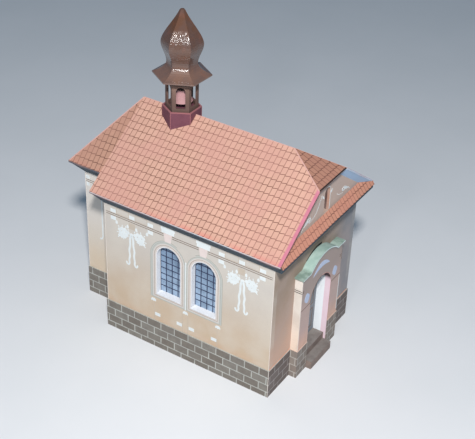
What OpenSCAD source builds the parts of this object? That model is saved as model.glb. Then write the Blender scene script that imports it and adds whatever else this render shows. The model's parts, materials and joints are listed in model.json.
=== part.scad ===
// Card model of a small baroque chapel: a nave with a coved cornice and a
// half-hipped roof, a narrower chancel with a hipped roof, a portal with
// steps, and a six-sided bell turret with an onion dome.
// Millimetres, +Z up. The front faces -Y. The origin is on the ground under
// the middle of the model's box.

/* [Nave] */
// Width of the nave over its side walls
nave_w = 73.4; // [60:0.1:100]
// Length of the nave over its end walls
nave_l = 90; // [75:0.5:120]
// Thickness of the wall board
wall_t = 3; // [1.5:0.1:4]
// Height of the walls below the cornice cove
wall_h = 70.2; // [66:0.1:72]
// Height of the stone plinth
plinth_h = 15.4; // [8:0.1:18]
// How far the plinth stands in front of the walls
plinth_out = 0.4; // [0.2:0.1:1]

/* [Nave roof] */
// Height of the ridge
ridge_h = 106.9; // [100:0.1:120]
// Height of the eaves, at the upper edge of the roof card
eaves_h = 77; // [76:0.1:79]
// Overhang of the eaves past the side walls
eaves_out = 4.9; // [3:0.1:7]
// Overhang of the roof past the front wall
verge_front = 5; // [4.2:0.1:7]
// Overhang of the roof past the rear wall
verge_rear = 4.4; // [2:0.1:7]
// Thickness of the roof card
roof_t = 0.7; // [0.5:0.1:1.2]
// Height of the lower edge of the half-hip
hip_low = 98.2; // [94:0.1:100]
// Distance from the front wall back to the top of the half-hip
hip_back = 14.4; // [8:0.1:22]
// Height of the sloping cove under the verges
verge_cove_h = 2.9; // [1.5:0.1:3.5]
// How far the lip of a cove stays back from the edge of the roof
lip_inset = 0.2; // [0.1:0.05:0.5]

/* [Gable and pent roof] */
// How far the gable front stands in front of the wall below
gable_out = 2.7; // [2:0.1:3.4]
// Height of the foot of the gable front
gable_foot = 75; // [74:0.1:75.4]
// Overhang of the pent roof past the front wall
pent_out = 6.1; // [5.2:0.1:7]
// Height of the lower edge of the pent roof
pent_low = 75.8; // [75.4:0.1:76.5]
// Height at which the pent roof meets the gable front
pent_top = 80.9; // [80:0.1:83]
// Overhang of the pent roof past the side walls
pent_side = 4.2; // [3:0.1:4.8]
// Height of the upright lip under the pent roof's edge
pent_fascia = 1.6; // [0.5:0.1:2.5]
// Width of the niche in the gable
niche_w = 4.6; // [3:0.1:6]
// Height of the top of the niche
niche_top = 93.5; // [88:0.1:95]

/* [Chancel] */
// Width of the chancel over its side walls
chancel_w = 41.8; // [34:0.1:54]
// Length of the chancel behind the nave
chancel_l = 24.1; // [18:0.1:40]
// Overhang of the chancel eaves past its walls
chancel_out = 5.2; // [3:0.1:7]

/* [Portal] */
// Width of the portal over its piers
portal_w = 36.4; // [30:0.1:42]
// How far the portal stands in front of the wall
portal_d = 3.8; // [3:0.1:5]
// Height of the portal's shoulders
shoulder_h = 55.7; // [52:0.1:58]
// Height of the portal's crest
crest_h = 60.6; // [59:0.1:64]
// Width of the arched crest
crest_w = 24.6; // [18:0.1:28]
// Thickness of the copper capping on the portal
capping_t = 0.6; // [0.3:0.1:1]
// How far the capping stands past the portal
capping_out = 0.9; // [0.2:0.1:1.5]
// Width of the doorway
door_w = 18.8; // [14:0.1:21]
// Height at which the doorway's arch starts
door_spring = 38; // [32:0.1:39]
// Thickness of the door card
door_t = 1; // [0.5:0.1:2]
// Border of the door card behind the wall
door_lap = 2; // [1:0.1:4]

/* [Steps] */
// Height of the lower step
low_step_h = 4.3; // [3:0.1:5]
// Distance of the lower step's front from the wall
low_step_front = 7; // [5:0.1:9]
// Height of the upper step, which is the threshold
high_step_h = 7.8; // [6:0.1:10]
// Distance of the upper step's front from the wall
high_step_front = 2.7; // [1.5:0.1:3.5]
// Gap between a step and the doorway's sides
step_gap = 0.1; // [0.05:0.05:0.5]

/* [Windows] */
// Width of a window opening
window_w = 13.5; // [9:0.1:15]
// Height of the window sills
window_sill = 31.5; // [25:0.1:36]
// Height at which a window's arch starts
window_spring = 52.8; // [45:0.1:54]
// Distance between the two windows of one side
window_pitch = 19; // [18:0.1:24]
// Thickness of the white lining in a window
lining_t = 0.35; // [0.2:0.05:0.8]
// How far the sill stands in front of the wall
sill_out = 0.4; // [0.2:0.1:1]
// Thickness of the window sheet
pane_t = 0.4; // [0.2:0.1:1]
// Border of the window sheet behind the wall
pane_lap = 2; // [1:0.1:2.5]

/* [Turret] */
// Distance of the turret's axis from the rear wall
turret_back = 16.6; // [12:0.1:28]
// Radius of the turret base over its corners
base_r = 9; // [8.6:0.1:11]
// Height of the rim of the turret base
base_top = 109.1; // [108.5:0.1:111]
// Width of the rim of the turret base
rim_w = 0.8; // [0.5:0.1:0.9]
// Depth of the deck below the rim
deck_drop = 0.6; // [0.3:0.1:1]
// Radius of the lantern over its corners
lantern_r = 7.5; // [7:0.1:7.8]
// Thickness of the lantern's card
lantern_t = 0.7; // [0.5:0.1:1]
// Width of an opening in the lantern
arch_w = 4.2; // [3:0.1:5]
// Height of the sill of the lantern openings
arch_sill = 110.5; // [109.8:0.1:112]
// Height of the top of the lantern openings
arch_top = 120.8; // [118:0.1:122.5]

/* [Bell] */
// Radius of the bell's lip
bell_r = 5; // [3.5:0.1:5.2]
// Height of the bell's lip
bell_low = 112; // [111.5:0.1:113.5]
// Height of the bell
bell_h = 7.5; // [6:0.1:9]
// Radius of the rod that the bell hangs on
rod_r = 0.4; // [0.3:0.1:0.8]

/* [Dome] */
// Radius of the dome's skirt over its corners
skirt_r = 13.4; // [11:0.1:15]
// Height of the skirt's edge
skirt_h = 124.6; // [124:0.1:127]
// Thickness of the skirt's edge
skirt_t = 0.6; // [0.3:0.1:1]
// Radius of the dome's neck
neck_r = 7; // [5:0.1:8]
// Height of the dome's neck
neck_h = 130.4; // [129:0.1:132]
// Radius of the dome at its widest
bulb_r = 9.5; // [8:0.1:11]
// Height of the dome at its widest
bulb_h = 139.5; // [137:0.1:141]
// Radius of the dome's blunt tip
tip_r = 1.4; // [0.5:0.1:1.5]
// Height of the tip
top_h = 155.2; // [152:0.1:160]
// Turn of the dome about the turret's axis
dome_turn = -2; // [-10:0.5:10]

/* [Hidden] */
$fn = 64;
past = 1;

half_w = nave_w / 2;
eave_x = half_w + eaves_out;
rear_y = nave_l + verge_rear;
pitch = atan((ridge_h - eaves_h) / eave_x);
hip_pitch = atan((ridge_h - hip_low) / (hip_back + verge_front));
pent_pitch = atan((pent_top - pent_low) / (pent_out - gable_out));
hip_half = (ridge_h - hip_low) / tan(pitch);

chancel_half = chancel_w / 2;
chancel_end = nave_l + chancel_l;
chancel_eave_x = chancel_half + chancel_out;
chancel_eave_y = chancel_end + chancel_out;
side_pitch = atan((ridge_h - eaves_h) / chancel_eave_x);
rear_pitch = atan((ridge_h - eaves_h) / (chancel_eave_y - rear_y));

front_y = -max(low_step_front, pent_out);
mid_y = (front_y + chancel_eave_y) / 2;
turret_y = nave_l - turret_back;

window_r = window_w / 2;
window_y = [(nave_l - window_pitch) / 2, (nave_l + window_pitch) / 2];
door_r = door_w / 2;
portal_half = portal_w / 2;
deck_h = base_top - deck_drop;

// Heights of the roof surfaces, lowered by a card of thickness t.
function nave_z(x, t = 0) = ridge_h - x * tan(pitch) - t / cos(pitch);
function hip_z(y, t = 0) =
    ridge_h - (hip_back - y) * tan(hip_pitch) - t / cos(hip_pitch);
function pent_z(y, t = 0) =
    pent_low + (y + pent_out) * tan(pent_pitch) - t / cos(pent_pitch);
function side_z(x, t = 0) =
    ridge_h - x * tan(side_pitch) - t / cos(side_pitch);
function back_z(y, t = 0) =
    ridge_h - (y - rear_y) * tan(rear_pitch) - t / cos(rear_pitch);

// A cubic curve through n steps, without its first point.
function curve(a, b, c, d, n) = [
    for (i = [1:n]) let (s = i / n, r = 1 - s)
        r * r * r * a + 3 * r * r * s * b + 3 * r * s * s * c + s * s * s * d
];

// ---- helpers ----

module placed() {
    translate([0, -mid_y, 0]) children();
}

// Extrudes an outline drawn in x and z from y0 to y1.
module along_y(y0, y1) {
    translate([0, y1, 0]) rotate([90, 0, 0])
        linear_extrude(y1 - y0) children();
}

// Extrudes an outline drawn in y and z from x0 to x1.
module along_x(x0, x1) {
    translate([x0, 0, 0]) rotate([90, 0, 90])
        linear_extrude(x1 - x0) children();
}

module block(x0, x1, y0, y1, z0, z1) {
    translate([x0, y0, z0]) cube([x1 - x0, y1 - y0, z1 - z0]);
}

module both_sides() {
    children();
    mirror([1, 0, 0]) children();
}

// An upright opening with a round head, drawn in a plane.
module arched(r, z0, spring) {
    translate([-r, z0]) square([2 * r, spring - z0]);
    translate([0, spring]) circle(r);
}

// The space under the nave roof's slopes, lowered by t.
module under_nave(t, y0, y1) {
    x = eave_x + past;
    intersection() {
        along_y(y0, y1) polygon([
            [-x, -past], [-x, nave_z(x, t)], [0, nave_z(0, t)],
            [x, nave_z(x, t)], [x, -past]
        ]);
        along_x(-x, x) polygon([
            [y0, -past], [y0, hip_z(y0, t)],
            [y1, hip_z(y1, t)], [y1, -past]
        ]);
    }
}

// The space under the chancel roof's slopes, lowered by t.
module under_chancel(t, y0) {
    x = chancel_eave_x + past;
    y = chancel_eave_y + past;
    intersection() {
        along_y(y0, y) polygon([
            [-x, -past], [-x, side_z(x, t)], [0, side_z(0, t)],
            [x, side_z(x, t)], [x, -past]
        ]);
        along_x(-x, x) polygon([
            [y0, -past], [y0, back_z(y0, t)], [y, back_z(y, t)], [y, -past]
        ]);
    }
}

// The upright wedge over the half-hip, as seen from above.
module hip_wedge() {
    y = -verge_front - past;
    x = hip_half * (hip_back - y) / (hip_back + verge_front);
    linear_extrude(ridge_h + past)
        polygon([[0, hip_back], [-x, y], [x, y]]);
}

// The ground areas in front of and behind the mitres of the right cove.
module front_corner() {
    k = (pent_out + past) / pent_out;
    linear_extrude(ridge_h) polygon([
        [-past, 0], [half_w, 0], [half_w + k * eaves_out, -k * pent_out],
        [-past, -k * pent_out]
    ]);
}

module rear_corner() {
    k = (verge_rear + past) / verge_rear;
    linear_extrude(ridge_h) polygon([
        [-past, nave_l], [half_w, nave_l],
        [half_w + k * eaves_out, nave_l + k * verge_rear],
        [-past, nave_l + k * verge_rear]
    ]);
}

// ---- walls ----

module side_wall() {
    difference() {
        along_y(0, nave_l) polygon([
            [half_w - wall_t, 0], [half_w, 0], [half_w, nave_z(half_w, roof_t)],
            [half_w - wall_t, nave_z(half_w - wall_t, roof_t)]
        ]);
        for (y = window_y)
            translate([0, y, 0])
                along_x(half_w - wall_t - past, half_w + past)
                    arched(window_r, window_sill, window_spring);
    }
}

module nave_right_wall() {
    color("tan") placed() side_wall();
}

module nave_left_wall() {
    color("tan") placed() mirror([1, 0, 0]) side_wall();
}

module front_wall_side() {
    block(door_r, half_w - wall_t, 0, wall_t, 0, door_spring);
}

module front_wall_right() {
    color("tan") placed() front_wall_side();
}

module front_wall_left() {
    color("tan") placed() mirror([1, 0, 0]) front_wall_side();
}

module front_wall_upper() {
    x = half_w - wall_t;
    color("tan") placed() intersection() {
        along_y(0, wall_t) difference() {
            translate([-x, door_spring]) square([2 * x, ridge_h - door_spring]);
            arched(door_r, 0, door_spring);
        }
        under_nave(roof_t, -past, hip_back);
    }
}

module nave_rear_wall() {
    x = half_w - wall_t;
    color("tan") placed() along_y(nave_l - wall_t, nave_l) polygon([
        [-x, 0], [x, 0], [x, nave_z(x, roof_t)], [0, nave_z(0, roof_t)],
        [-x, nave_z(x, roof_t)]
    ]);
}

module gable_front() {
    niche_r = niche_w / 2;
    color("rosybrown") placed() intersection() {
        along_y(-gable_out, 0) difference() {
            translate([-half_w, gable_foot])
                square([nave_w, ridge_h - gable_foot]);
            arched(niche_r, pent_top, niche_top - niche_r);
        }
        under_nave(roof_t, -verge_front, hip_back);
    }
}

module chancel_side_wall() {
    difference() {
        intersection() {
            block(chancel_half - wall_t, chancel_half, nave_l, chancel_end,
                0, ridge_h);
            under_chancel(roof_t, nave_l - past);
        }
        nave_eaves_space();
    }
}

// The nave roof's card and all that is above it.
module nave_eaves_space() {
    difference() {
        block(-eave_x, eave_x, nave_l - past, rear_y, eaves_h, ridge_h + past);
        under_nave(roof_t, nave_l - 2 * past, rear_y + past);
    }
}

module chancel_right_wall() {
    color("tan") placed() chancel_side_wall();
}

module chancel_left_wall() {
    color("tan") placed() mirror([1, 0, 0]) chancel_side_wall();
}

module chancel_rear_wall() {
    x = chancel_half - wall_t;
    color("tan") placed() intersection() {
        block(-x, x, chancel_end - wall_t, chancel_end, 0, ridge_h);
        under_chancel(roof_t, nave_l);
    }
}

// ---- plinths ----

module side_plinth() {
    block(half_w, half_w + plinth_out, -plinth_out, nave_l + plinth_out,
        0, plinth_h);
}

module plinth_right() {
    color("dimgray") placed() side_plinth();
}

module plinth_left() {
    color("dimgray") placed() mirror([1, 0, 0]) side_plinth();
}

module plinth_front() {
    color("dimgray") placed() both_sides()
        block(portal_half + plinth_out, half_w, -plinth_out, 0, 0, plinth_h);
}

module plinth_rear() {
    color("dimgray") placed() both_sides()
        block(chancel_half + plinth_out, half_w, nave_l, nave_l + plinth_out,
            0, plinth_h);
}

module chancel_plinth() {
    x = chancel_half + plinth_out;
    color("dimgray") placed() difference() {
        block(-x, x, nave_l, chancel_end + plinth_out, 0, plinth_h);
        block(-chancel_half, chancel_half, nave_l - past, chancel_end,
            -past, plinth_h + past);
    }
}

// ---- roofs ----

module nave_slope() {
    difference() {
        along_y(-verge_front, rear_y) polygon([
            [0, ridge_h], [eave_x, eaves_h], [eave_x, nave_z(eave_x, roof_t)],
            [0, nave_z(0, roof_t)]
        ]);
        hip_wedge();
    }
}

module nave_roof_right() {
    color("darksalmon") placed() nave_slope();
}

module nave_roof_left() {
    color("darksalmon") placed() mirror([1, 0, 0]) nave_slope();
}

module half_hip_roof() {
    y = -verge_front;
    x = hip_half + past;
    color("sienna") placed() intersection() {
        along_x(-x, x) polygon([
            [y, hip_low], [hip_back, ridge_h], [hip_back, hip_z(hip_back, roof_t)],
            [y + roof_t * sin(hip_pitch), hip_low - roof_t * cos(hip_pitch)]
        ]);
        hip_wedge();
    }
}

// The pent roof's lower edge, on the inner face of the card.
pent_lip = [
    -pent_out + roof_t * sin(pent_pitch), pent_low - roof_t * cos(pent_pitch)
];

module pent_roof() {
    x = half_w + pent_side;
    color("sienna") placed() difference() {
        along_x(-x, x) polygon([
            [-pent_out, pent_low], [-gable_out, pent_top],
            [-gable_out, pent_z(-gable_out, roof_t)], pent_lip
        ]);
        difference() {
            block(-x - past, x + past, -verge_front, 0, pent_low - past, ridge_h);
            under_nave(roof_t, -pent_out, past);
        }
    }
}

module chancel_slope() {
    t = roof_t;
    difference() {
        along_y(nave_l, chancel_eave_y) polygon([
            [0, ridge_h], [chancel_eave_x, eaves_h],
            [chancel_eave_x, side_z(chancel_eave_x, t)], [0, side_z(0, t)]
        ]);
        chancel_hip_wedge();
        nave_eaves_space();
    }
}

// The upright wedge over the chancel's rear slope, as seen from above.
module chancel_hip_wedge() {
    k = (chancel_eave_y - rear_y + past) / (chancel_eave_y - rear_y);
    x = k * chancel_eave_x;
    linear_extrude(ridge_h + past) polygon([
        [0, rear_y], [x, chancel_eave_y + past], [-x, chancel_eave_y + past]
    ]);
}

module chancel_roof_right() {
    color("darksalmon") placed() chancel_slope();
}

module chancel_roof_left() {
    color("darksalmon") placed() mirror([1, 0, 0]) chancel_slope();
}

module chancel_roof_rear() {
    t = roof_t;
    x = chancel_eave_x + past;
    color("darksalmon") placed() intersection() {
        along_x(-x, x) polygon([
            [rear_y, ridge_h], [chancel_eave_y, eaves_h],
            [chancel_eave_y, back_z(chancel_eave_y, t)], [rear_y, back_z(rear_y, t)]
        ]);
        chancel_hip_wedge();
    }
}

// ---- coves ----

module eaves_cove() {
    lip_x = eave_x - lip_inset;
    difference() {
        along_y(-pent_out, rear_y) polygon([
            [half_w, wall_h], [lip_x, nave_z(lip_x, roof_t)],
            [half_w, nave_z(half_w, roof_t)]
        ]);
        front_corner();
        rear_corner();
        block(0, eave_x, -pent_out - past, -verge_front, 0, ridge_h);
        pent_space();
    }
}

module eaves_cove_right() {
    color("slategray") placed() eaves_cove();
}

module eaves_cove_left() {
    color("slategray") placed() mirror([1, 0, 0]) eaves_cove();
}

// The pent roof's card, without its ends.
module pent_space() {
    along_x(-eave_x - past, eave_x + past) polygon([
        [-pent_out, pent_low], [-gable_out, pent_top],
        [-gable_out, pent_z(-gable_out, roof_t)], pent_lip
    ]);
}

module pent_cove() {
    x = half_w + pent_side;
    color("slategray") placed() intersection() {
        along_x(-x, x) polygon([
            [0, wall_h], pent_lip - [0, pent_fascia], pent_lip,
            [-gable_out, pent_z(-gable_out, roof_t)],
            [-gable_out, gable_foot], [0, gable_foot]
        ]);
        both_sides() front_corner();
        under_nave(roof_t, -pent_out - past, past);
    }
}

// The outline of a verge cove across the slope, from wall to edge. Its
// sloping face runs on past the edge, and the roof card cuts it there.
module verge_profile(wall_y, edge_y) {
    rise = verge_cove_h / abs(edge_y - wall_y);
    y = edge_y + sign(edge_y - wall_y) * past;
    top = verge_cove_h + past;
    polygon([
        [wall_y, top], [y, top], [y, rise * past - roof_t],
        [wall_y, -roof_t - verge_cove_h]
    ]);
}

module verge_cove(wall_y, edge_y) {
    x = eave_x - lip_inset;
    intersection() {
        translate([0, 0, ridge_h]) rotate([0, pitch, 0])
            along_x(-eave_x, eave_x / cos(pitch))
                verge_profile(wall_y, edge_y);
        block(0, x, -pent_out, chancel_eave_y, 0, ridge_h);
        under_nave(roof_t, -pent_out - past, rear_y + past);
    }
}

// The space over the half-hip cove's sloping face, back to y.
module over_hip_cove(y) {
    low = hip_z(-gable_out, roof_t) - verge_cove_h / cos(pitch);
    lip = -verge_front + roof_t * sin(hip_pitch);
    rise = (hip_z(lip, roof_t) - low) / (lip + gable_out);
    front = lip - past;
    along_x(-hip_half, hip_half) polygon([
        [y, low + rise * (y + gable_out)],
        [front, low + rise * (front + gable_out)],
        [front, ridge_h], [y, ridge_h]
    ]);
}

module hip_cove() {
    intersection() {
        over_hip_cove(-gable_out);
        under_nave(roof_t, -pent_out - past, past);
    }
}

module half_hip_cove() {
    color("slategray") placed() hip_cove();
}

module front_verge_cove() {
    color("slategray") placed() both_sides() difference() {
        verge_cove(-gable_out, lip_inset - verge_front);
        over_hip_cove(past - gable_out);
        below_pent();
    }
}

// The space under the upper face of the pent roof.
module below_pent() {
    y = past - gable_out;
    along_x(-past, eave_x + past) polygon([
        [-pent_out, 0], [-pent_out, pent_low], [y, pent_z(y)], [y, 0]
    ]);
}

module rear_verge_cove() {
    color("slategray") placed() both_sides() difference() {
        intersection() {
            verge_cove(nave_l, rear_y - lip_inset);
            rear_corner();
        }
        under_chancel(0, nave_l - past);
    }
}

module chancel_cove() {
    x = chancel_eave_x - lip_inset;
    xz = side_z(x, roof_t);
    y = chancel_eave_y - lip_inset;
    yz = back_z(y, roof_t);
    color("slategray") placed() difference() {
        intersection() {
            along_y(nave_l, chancel_eave_y) polygon([
                [-chancel_half, wall_h], [-x, xz], [0, side_z(0, roof_t)],
                [x, xz], [chancel_half, wall_h]
            ]);
            along_x(-x, x) polygon([
                [nave_l, wall_h], [nave_l, back_z(nave_l, roof_t)],
                [y, yz], [chancel_end, wall_h]
            ]);
        }
        block(-chancel_half, chancel_half, nave_l - past, chancel_end,
            0, ridge_h);
    }
}

// ---- portal, door and steps ----

module portal_pier() {
    block(door_r, portal_half, -portal_d, 0, 0, door_spring);
    block(door_r, portal_half + plinth_out, -portal_d - plinth_out, 0,
        0, plinth_h);
}

module portal_right_pier() {
    color("wheat") placed() portal_pier();
}

module portal_left_pier() {
    color("wheat") placed() mirror([1, 0, 0]) portal_pier();
}

// The arched crest is the top of a circle that meets both shoulders.
crest_rise = crest_h - shoulder_h;
crest_r = (crest_w * crest_w / 4 + crest_rise * crest_rise) / (2 * crest_rise);

// The outline of the portal's crest, raised by t.
module crest(t) {
    intersection() {
        translate([0, crest_h - crest_r]) circle(crest_r + t, $fn = 180);
        translate([-crest_w, shoulder_h]) square([2 * crest_w, crest_w]);
    }
}

module portal_head() {
    color("wheat") placed() along_y(-portal_d, 0) difference() {
        union() {
            translate([-portal_half, door_spring])
                square([portal_w, shoulder_h - door_spring]);
            crest(0);
        }
        arched(door_r, 0, door_spring);
    }
}

module portal_capping() {
    x = portal_half + capping_out;
    color("darkseagreen") placed() along_y(-portal_d - capping_out, 0)
        difference() {
            union() {
                translate([-x, shoulder_h]) square([2 * x, capping_t]);
                crest(capping_t);
            }
            crest(0);
        }
}

module door() {
    color("slategray") placed() along_y(wall_t, wall_t + door_t)
        arched(door_r + door_lap, high_step_h - door_lap, door_spring);
}

module lower_step() {
    x = door_r - step_gap;
    color("gray") placed()
        block(-x, x, -low_step_front, -high_step_front, 0, low_step_h);
}

module upper_step() {
    x = door_r - step_gap;
    color("gray") placed()
        block(-x, x, -high_step_front, wall_t, 0, high_step_h);
}

// ---- windows ----

module window_sheets() {
    x = half_w - wall_t;
    for (y = window_y)
        translate([0, y, 0]) along_x(x - pane_t, x)
            arched(window_r + pane_lap, window_sill - pane_lap, window_spring);
}

module right_window_sheets() {
    color("lightslategray") placed() window_sheets();
}

module left_window_sheets() {
    color("lightslategray") placed() mirror([1, 0, 0]) window_sheets();
}

module window_linings() {
    for (y = window_y)
        translate([0, y, 0]) difference() {
            along_x(half_w - wall_t, half_w + sill_out)
                arched(window_r, window_sill, window_spring);
            along_x(half_w - wall_t - past, half_w + sill_out + past)
                arched(window_r - lining_t, window_sill + lining_t,
                    window_spring);
            block(half_w, half_w + sill_out + past, -window_w, window_w,
                window_sill + lining_t, ridge_h);
        }
}

module right_window_linings() {
    color("white") placed() window_linings();
}

module left_window_linings() {
    color("white") placed() mirror([1, 0, 0]) window_linings();
}

// ---- turret ----

module turret() {
    placed() translate([0, turret_y, 0]) children();
}

module turret_base() {
    color("brown") difference() {
        turret() difference() {
            translate([0, 0, eaves_h])
                cylinder(h = base_top - eaves_h, r = base_r, $fn = 6);
            translate([0, 0, deck_h])
                cylinder(h = base_top, r = base_r - rim_w, $fn = 6);
        }
        placed() under_nave(0, hip_back, nave_l);
    }
}

// The height of the dome's underside at radius r, over the corners.
function eave_under(r) = skirt_h + (skirt_r - r) * 0.25;

module lantern() {
    arch_r = arch_w / 2;
    color("dimgray") turret() difference() {
        translate([0, 0, deck_h])
            cylinder(h = eave_under(lantern_r) - deck_h, r = lantern_r, $fn = 6);
        translate([0, 0, deck_h - past])
            cylinder(h = ridge_h, r = lantern_r - lantern_t / cos(30), $fn = 6);
        for (i = [0:2])
            rotate([0, 0, 60 * i]) along_y(-lantern_r, lantern_r)
                arched(arch_r, arch_sill, arch_top - arch_r);
    }
}

module bell() {
    top = bell_low + bell_h;
    waist = bell_r * 0.52;
    profile = concat(
        [[0, bell_low], [bell_r, bell_low]],
        curve([bell_r, bell_low], [bell_r * 0.72, bell_low + bell_h * 0.25],
            [waist, bell_low + bell_h * 0.5], [waist, bell_low + bell_h * 0.75],
            6),
        curve([waist, bell_low + bell_h * 0.75],
            [waist, bell_low + bell_h * 0.92], [waist * 0.7, top],
            [rod_r, top], 5),
        [[rod_r, eave_under(rod_r)], [0, eave_under(rod_r)]]
    );
    color("indianred") turret() rotate_extrude() polygon(profile);
}

module onion_dome() {
    neck = [neck_r, neck_h];
    bulb = [bulb_r, bulb_h];
    tip = [tip_r, top_h - tip_r * 0.6];
    profile = concat(
        [[0, eave_under(0)], [skirt_r, skirt_h], [skirt_r, skirt_h + skirt_t]],
        curve([skirt_r, skirt_h + skirt_t], [skirt_r * 0.72, skirt_h + 1.7],
            [neck_r, neck_h - 2], neck, 7),
        curve(neck, [neck_r, neck_h + 3.2], [bulb_r, bulb_h - 3.3], bulb, 9),
        curve(bulb, [bulb_r, bulb_h + 4], [bulb_r * 0.37, top_h - 5.6],
            tip, 12),
        curve(tip, [tip_r * 0.8, top_h], [tip_r * 0.4, top_h], [0, top_h], 3)
    );
    color("saddlebrown") turret() rotate([0, 0, dome_turn])
        rotate_extrude($fn = 6) polygon(profile);
}

nave_left_wall();
nave_right_wall();
front_wall_left();
front_wall_right();
front_wall_upper();
nave_rear_wall();
gable_front();
chancel_left_wall();
chancel_right_wall();
chancel_rear_wall();
plinth_left();
plinth_right();
plinth_front();
plinth_rear();
chancel_plinth();
nave_roof_left();
nave_roof_right();
half_hip_roof();
pent_roof();
chancel_roof_left();
chancel_roof_right();
chancel_roof_rear();
eaves_cove_left();
eaves_cove_right();
pent_cove();
half_hip_cove();
front_verge_cove();
rear_verge_cove();
chancel_cove();
portal_left_pier();
portal_right_pier();
portal_head();
portal_capping();
door();
lower_step();
upper_step();
left_window_sheets();
right_window_sheets();
left_window_linings();
right_window_linings();
turret_base();
lantern();
bell();
onion_dome();
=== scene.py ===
# %% [markdown]
# A small baroque chapel, made as a printed card model. Its walls, roofs, portal
# and turret are cut from card, and nearly all that you see on them is print.
# The shapes come packed from CAD, and this lesson gives them their inks, the
# thin layers of printed ornament, the light and the camera.

import json
import math

import bmesh
import bpy
from mathutils import Matrix, Vector


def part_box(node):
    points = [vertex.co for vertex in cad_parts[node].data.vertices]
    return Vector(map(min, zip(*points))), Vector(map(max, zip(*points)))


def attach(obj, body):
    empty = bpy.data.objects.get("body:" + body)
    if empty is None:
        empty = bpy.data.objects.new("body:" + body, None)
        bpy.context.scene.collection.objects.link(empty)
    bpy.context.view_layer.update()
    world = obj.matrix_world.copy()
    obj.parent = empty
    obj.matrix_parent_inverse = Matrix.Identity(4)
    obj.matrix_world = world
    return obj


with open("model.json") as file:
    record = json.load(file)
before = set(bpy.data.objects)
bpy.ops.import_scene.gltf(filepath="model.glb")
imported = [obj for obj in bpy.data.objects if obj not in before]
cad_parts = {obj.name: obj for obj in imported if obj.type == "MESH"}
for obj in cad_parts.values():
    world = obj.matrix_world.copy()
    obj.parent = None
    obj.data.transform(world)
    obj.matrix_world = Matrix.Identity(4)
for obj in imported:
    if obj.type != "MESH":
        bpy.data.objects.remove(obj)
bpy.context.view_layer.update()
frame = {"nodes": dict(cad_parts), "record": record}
nodes = frame["nodes"]
print("shapes:", len(nodes))

# %% [markdown]
# Paper models are measured in millimetres and Blender works in metres, so one
# constant turns one into the other. Every place below starts from the box of a
# CAD shape, so the ornament stays on its wall if a wall moves.

# %% Measure the walls
MM = 0.001


def span(name):
    """The lowest and highest corner of a shape, in millimetres."""
    low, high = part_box(name)
    return low / MM, high / MM


wall_low, wall_high = span("nave_left_wall")
chancel_low, chancel_high = span("chancel_left_wall")
roof_low, roof_high = span("nave_roof_left")
portal_low, portal_high = span("portal_head")
gable_low = span("gable_front")[0]
plinth_low, plinth_high = span("plinth_left")
hip_low_corner, hip_high_corner = span("half_hip_roof")
pent_low_corner, pent_high_corner = span("pent_roof")

FRONT = wall_low.y
REAR = wall_high.y
SIDE = -wall_low.x
PORTAL = portal_low.y
GABLE = gable_low.y
CHANCEL_SIDE = -chancel_low.x
CHANCEL_REAR = chancel_high.y
RIDGE = roof_high.z
EAVE_X = -roof_low.x
EAVE = 77.0
PITCH = math.atan2(RIDGE - EAVE, EAVE_X)
SLOPE = (RIDGE - EAVE) / math.sin(PITCH)
ROOF_FRONT = roof_low.y
ROOF_REAR = roof_high.y
print("nave", round(2 * SIDE, 1), "by", round(REAR - FRONT, 1), "mm")
print("roof pitch", round(math.degrees(PITCH), 1), "degrees")

# %% [markdown]
# The camera looks down on the front left corner with a long lens. Yaw is the
# turn from straight ahead to the right, pitch is how far it looks down, and a
# small roll tilts it, as when a model is held up to a lens by hand.

# %% Set up the camera
CAMERA_PLACE = Vector((-0.35468, -0.23151, 0.33800))
CAMERA_YAW = math.radians(58.518)
CAMERA_PITCH = math.radians(33.783)
CAMERA_ROLL = math.radians(2.315)
LENS_LENGTH = 82.44
FILM_WIDTH = 36


def camera_matrix(place, yaw, pitch, roll):
    """A camera's matrix, from where it stands and how it is turned."""
    ahead = Vector((
        math.cos(pitch) * math.sin(yaw),
        math.cos(pitch) * math.cos(yaw),
        -math.sin(pitch),
    ))
    right = Vector((math.cos(yaw), -math.sin(yaw), 0))
    up = right.cross(ahead)
    side = math.cos(roll) * right + math.sin(roll) * up
    top = math.cos(roll) * up - math.sin(roll) * right
    turn = Matrix((side, top, -ahead)).transposed().to_4x4()
    return Matrix.Translation(place) @ turn


lens = bpy.data.cameras.new("camera")
lens.lens = LENS_LENGTH
lens.sensor_width = FILM_WIDTH
lens.clip_start = 0.01
camera = bpy.data.objects.new("camera", lens)
camera.matrix_world = camera_matrix(CAMERA_PLACE, CAMERA_YAW, CAMERA_PITCH, CAMERA_ROLL)
bpy.context.scene.collection.objects.link(camera)
bpy.context.scene.camera = camera
bpy.context.scene.view_settings.view_transform = "Standard"
print("camera", round(CAMERA_PLACE.length * 1000), "mm from the model")

# %% [markdown]
# One lamp high on the left does most of the work. It is a small round panel
# less than a metre away, which gives the crisp, slightly soft shadows that a
# small model has under its eaves. A sun lamp would be simpler, but its rays are
# parallel, and a near lamp's rays spread, so the front gets a deeper shadow. The
# world adds an even blue fill, and a weak panel puts the gleam on the dome's
# facet towards the camera.

# %% Set up the light and the floor
MODEL_MIDDLE = Vector((0, 0, 0.06))
KEY_PLACE = (-0.428, -0.295, 0.564)
GLEAM_PLACE = (-0.421, -0.150, 0.354)
FILL_COLOR = (0.36, 0.64, 0.95, 1)
FILL_STRENGTH = 0.2


def add_panel(name, place, watts, size, color):
    """A round lamp that faces the model."""
    data = bpy.data.lights.new(name, "AREA")
    data.shape = "DISK"
    data.energy = watts
    data.size = size
    data.color = color
    lamp = bpy.data.objects.new(name, data)
    lamp.location = place
    lamp.rotation_euler = (lamp.location - MODEL_MIDDLE).to_track_quat("Z", "Y").to_euler()
    bpy.context.scene.collection.objects.link(lamp)
    return lamp


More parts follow.
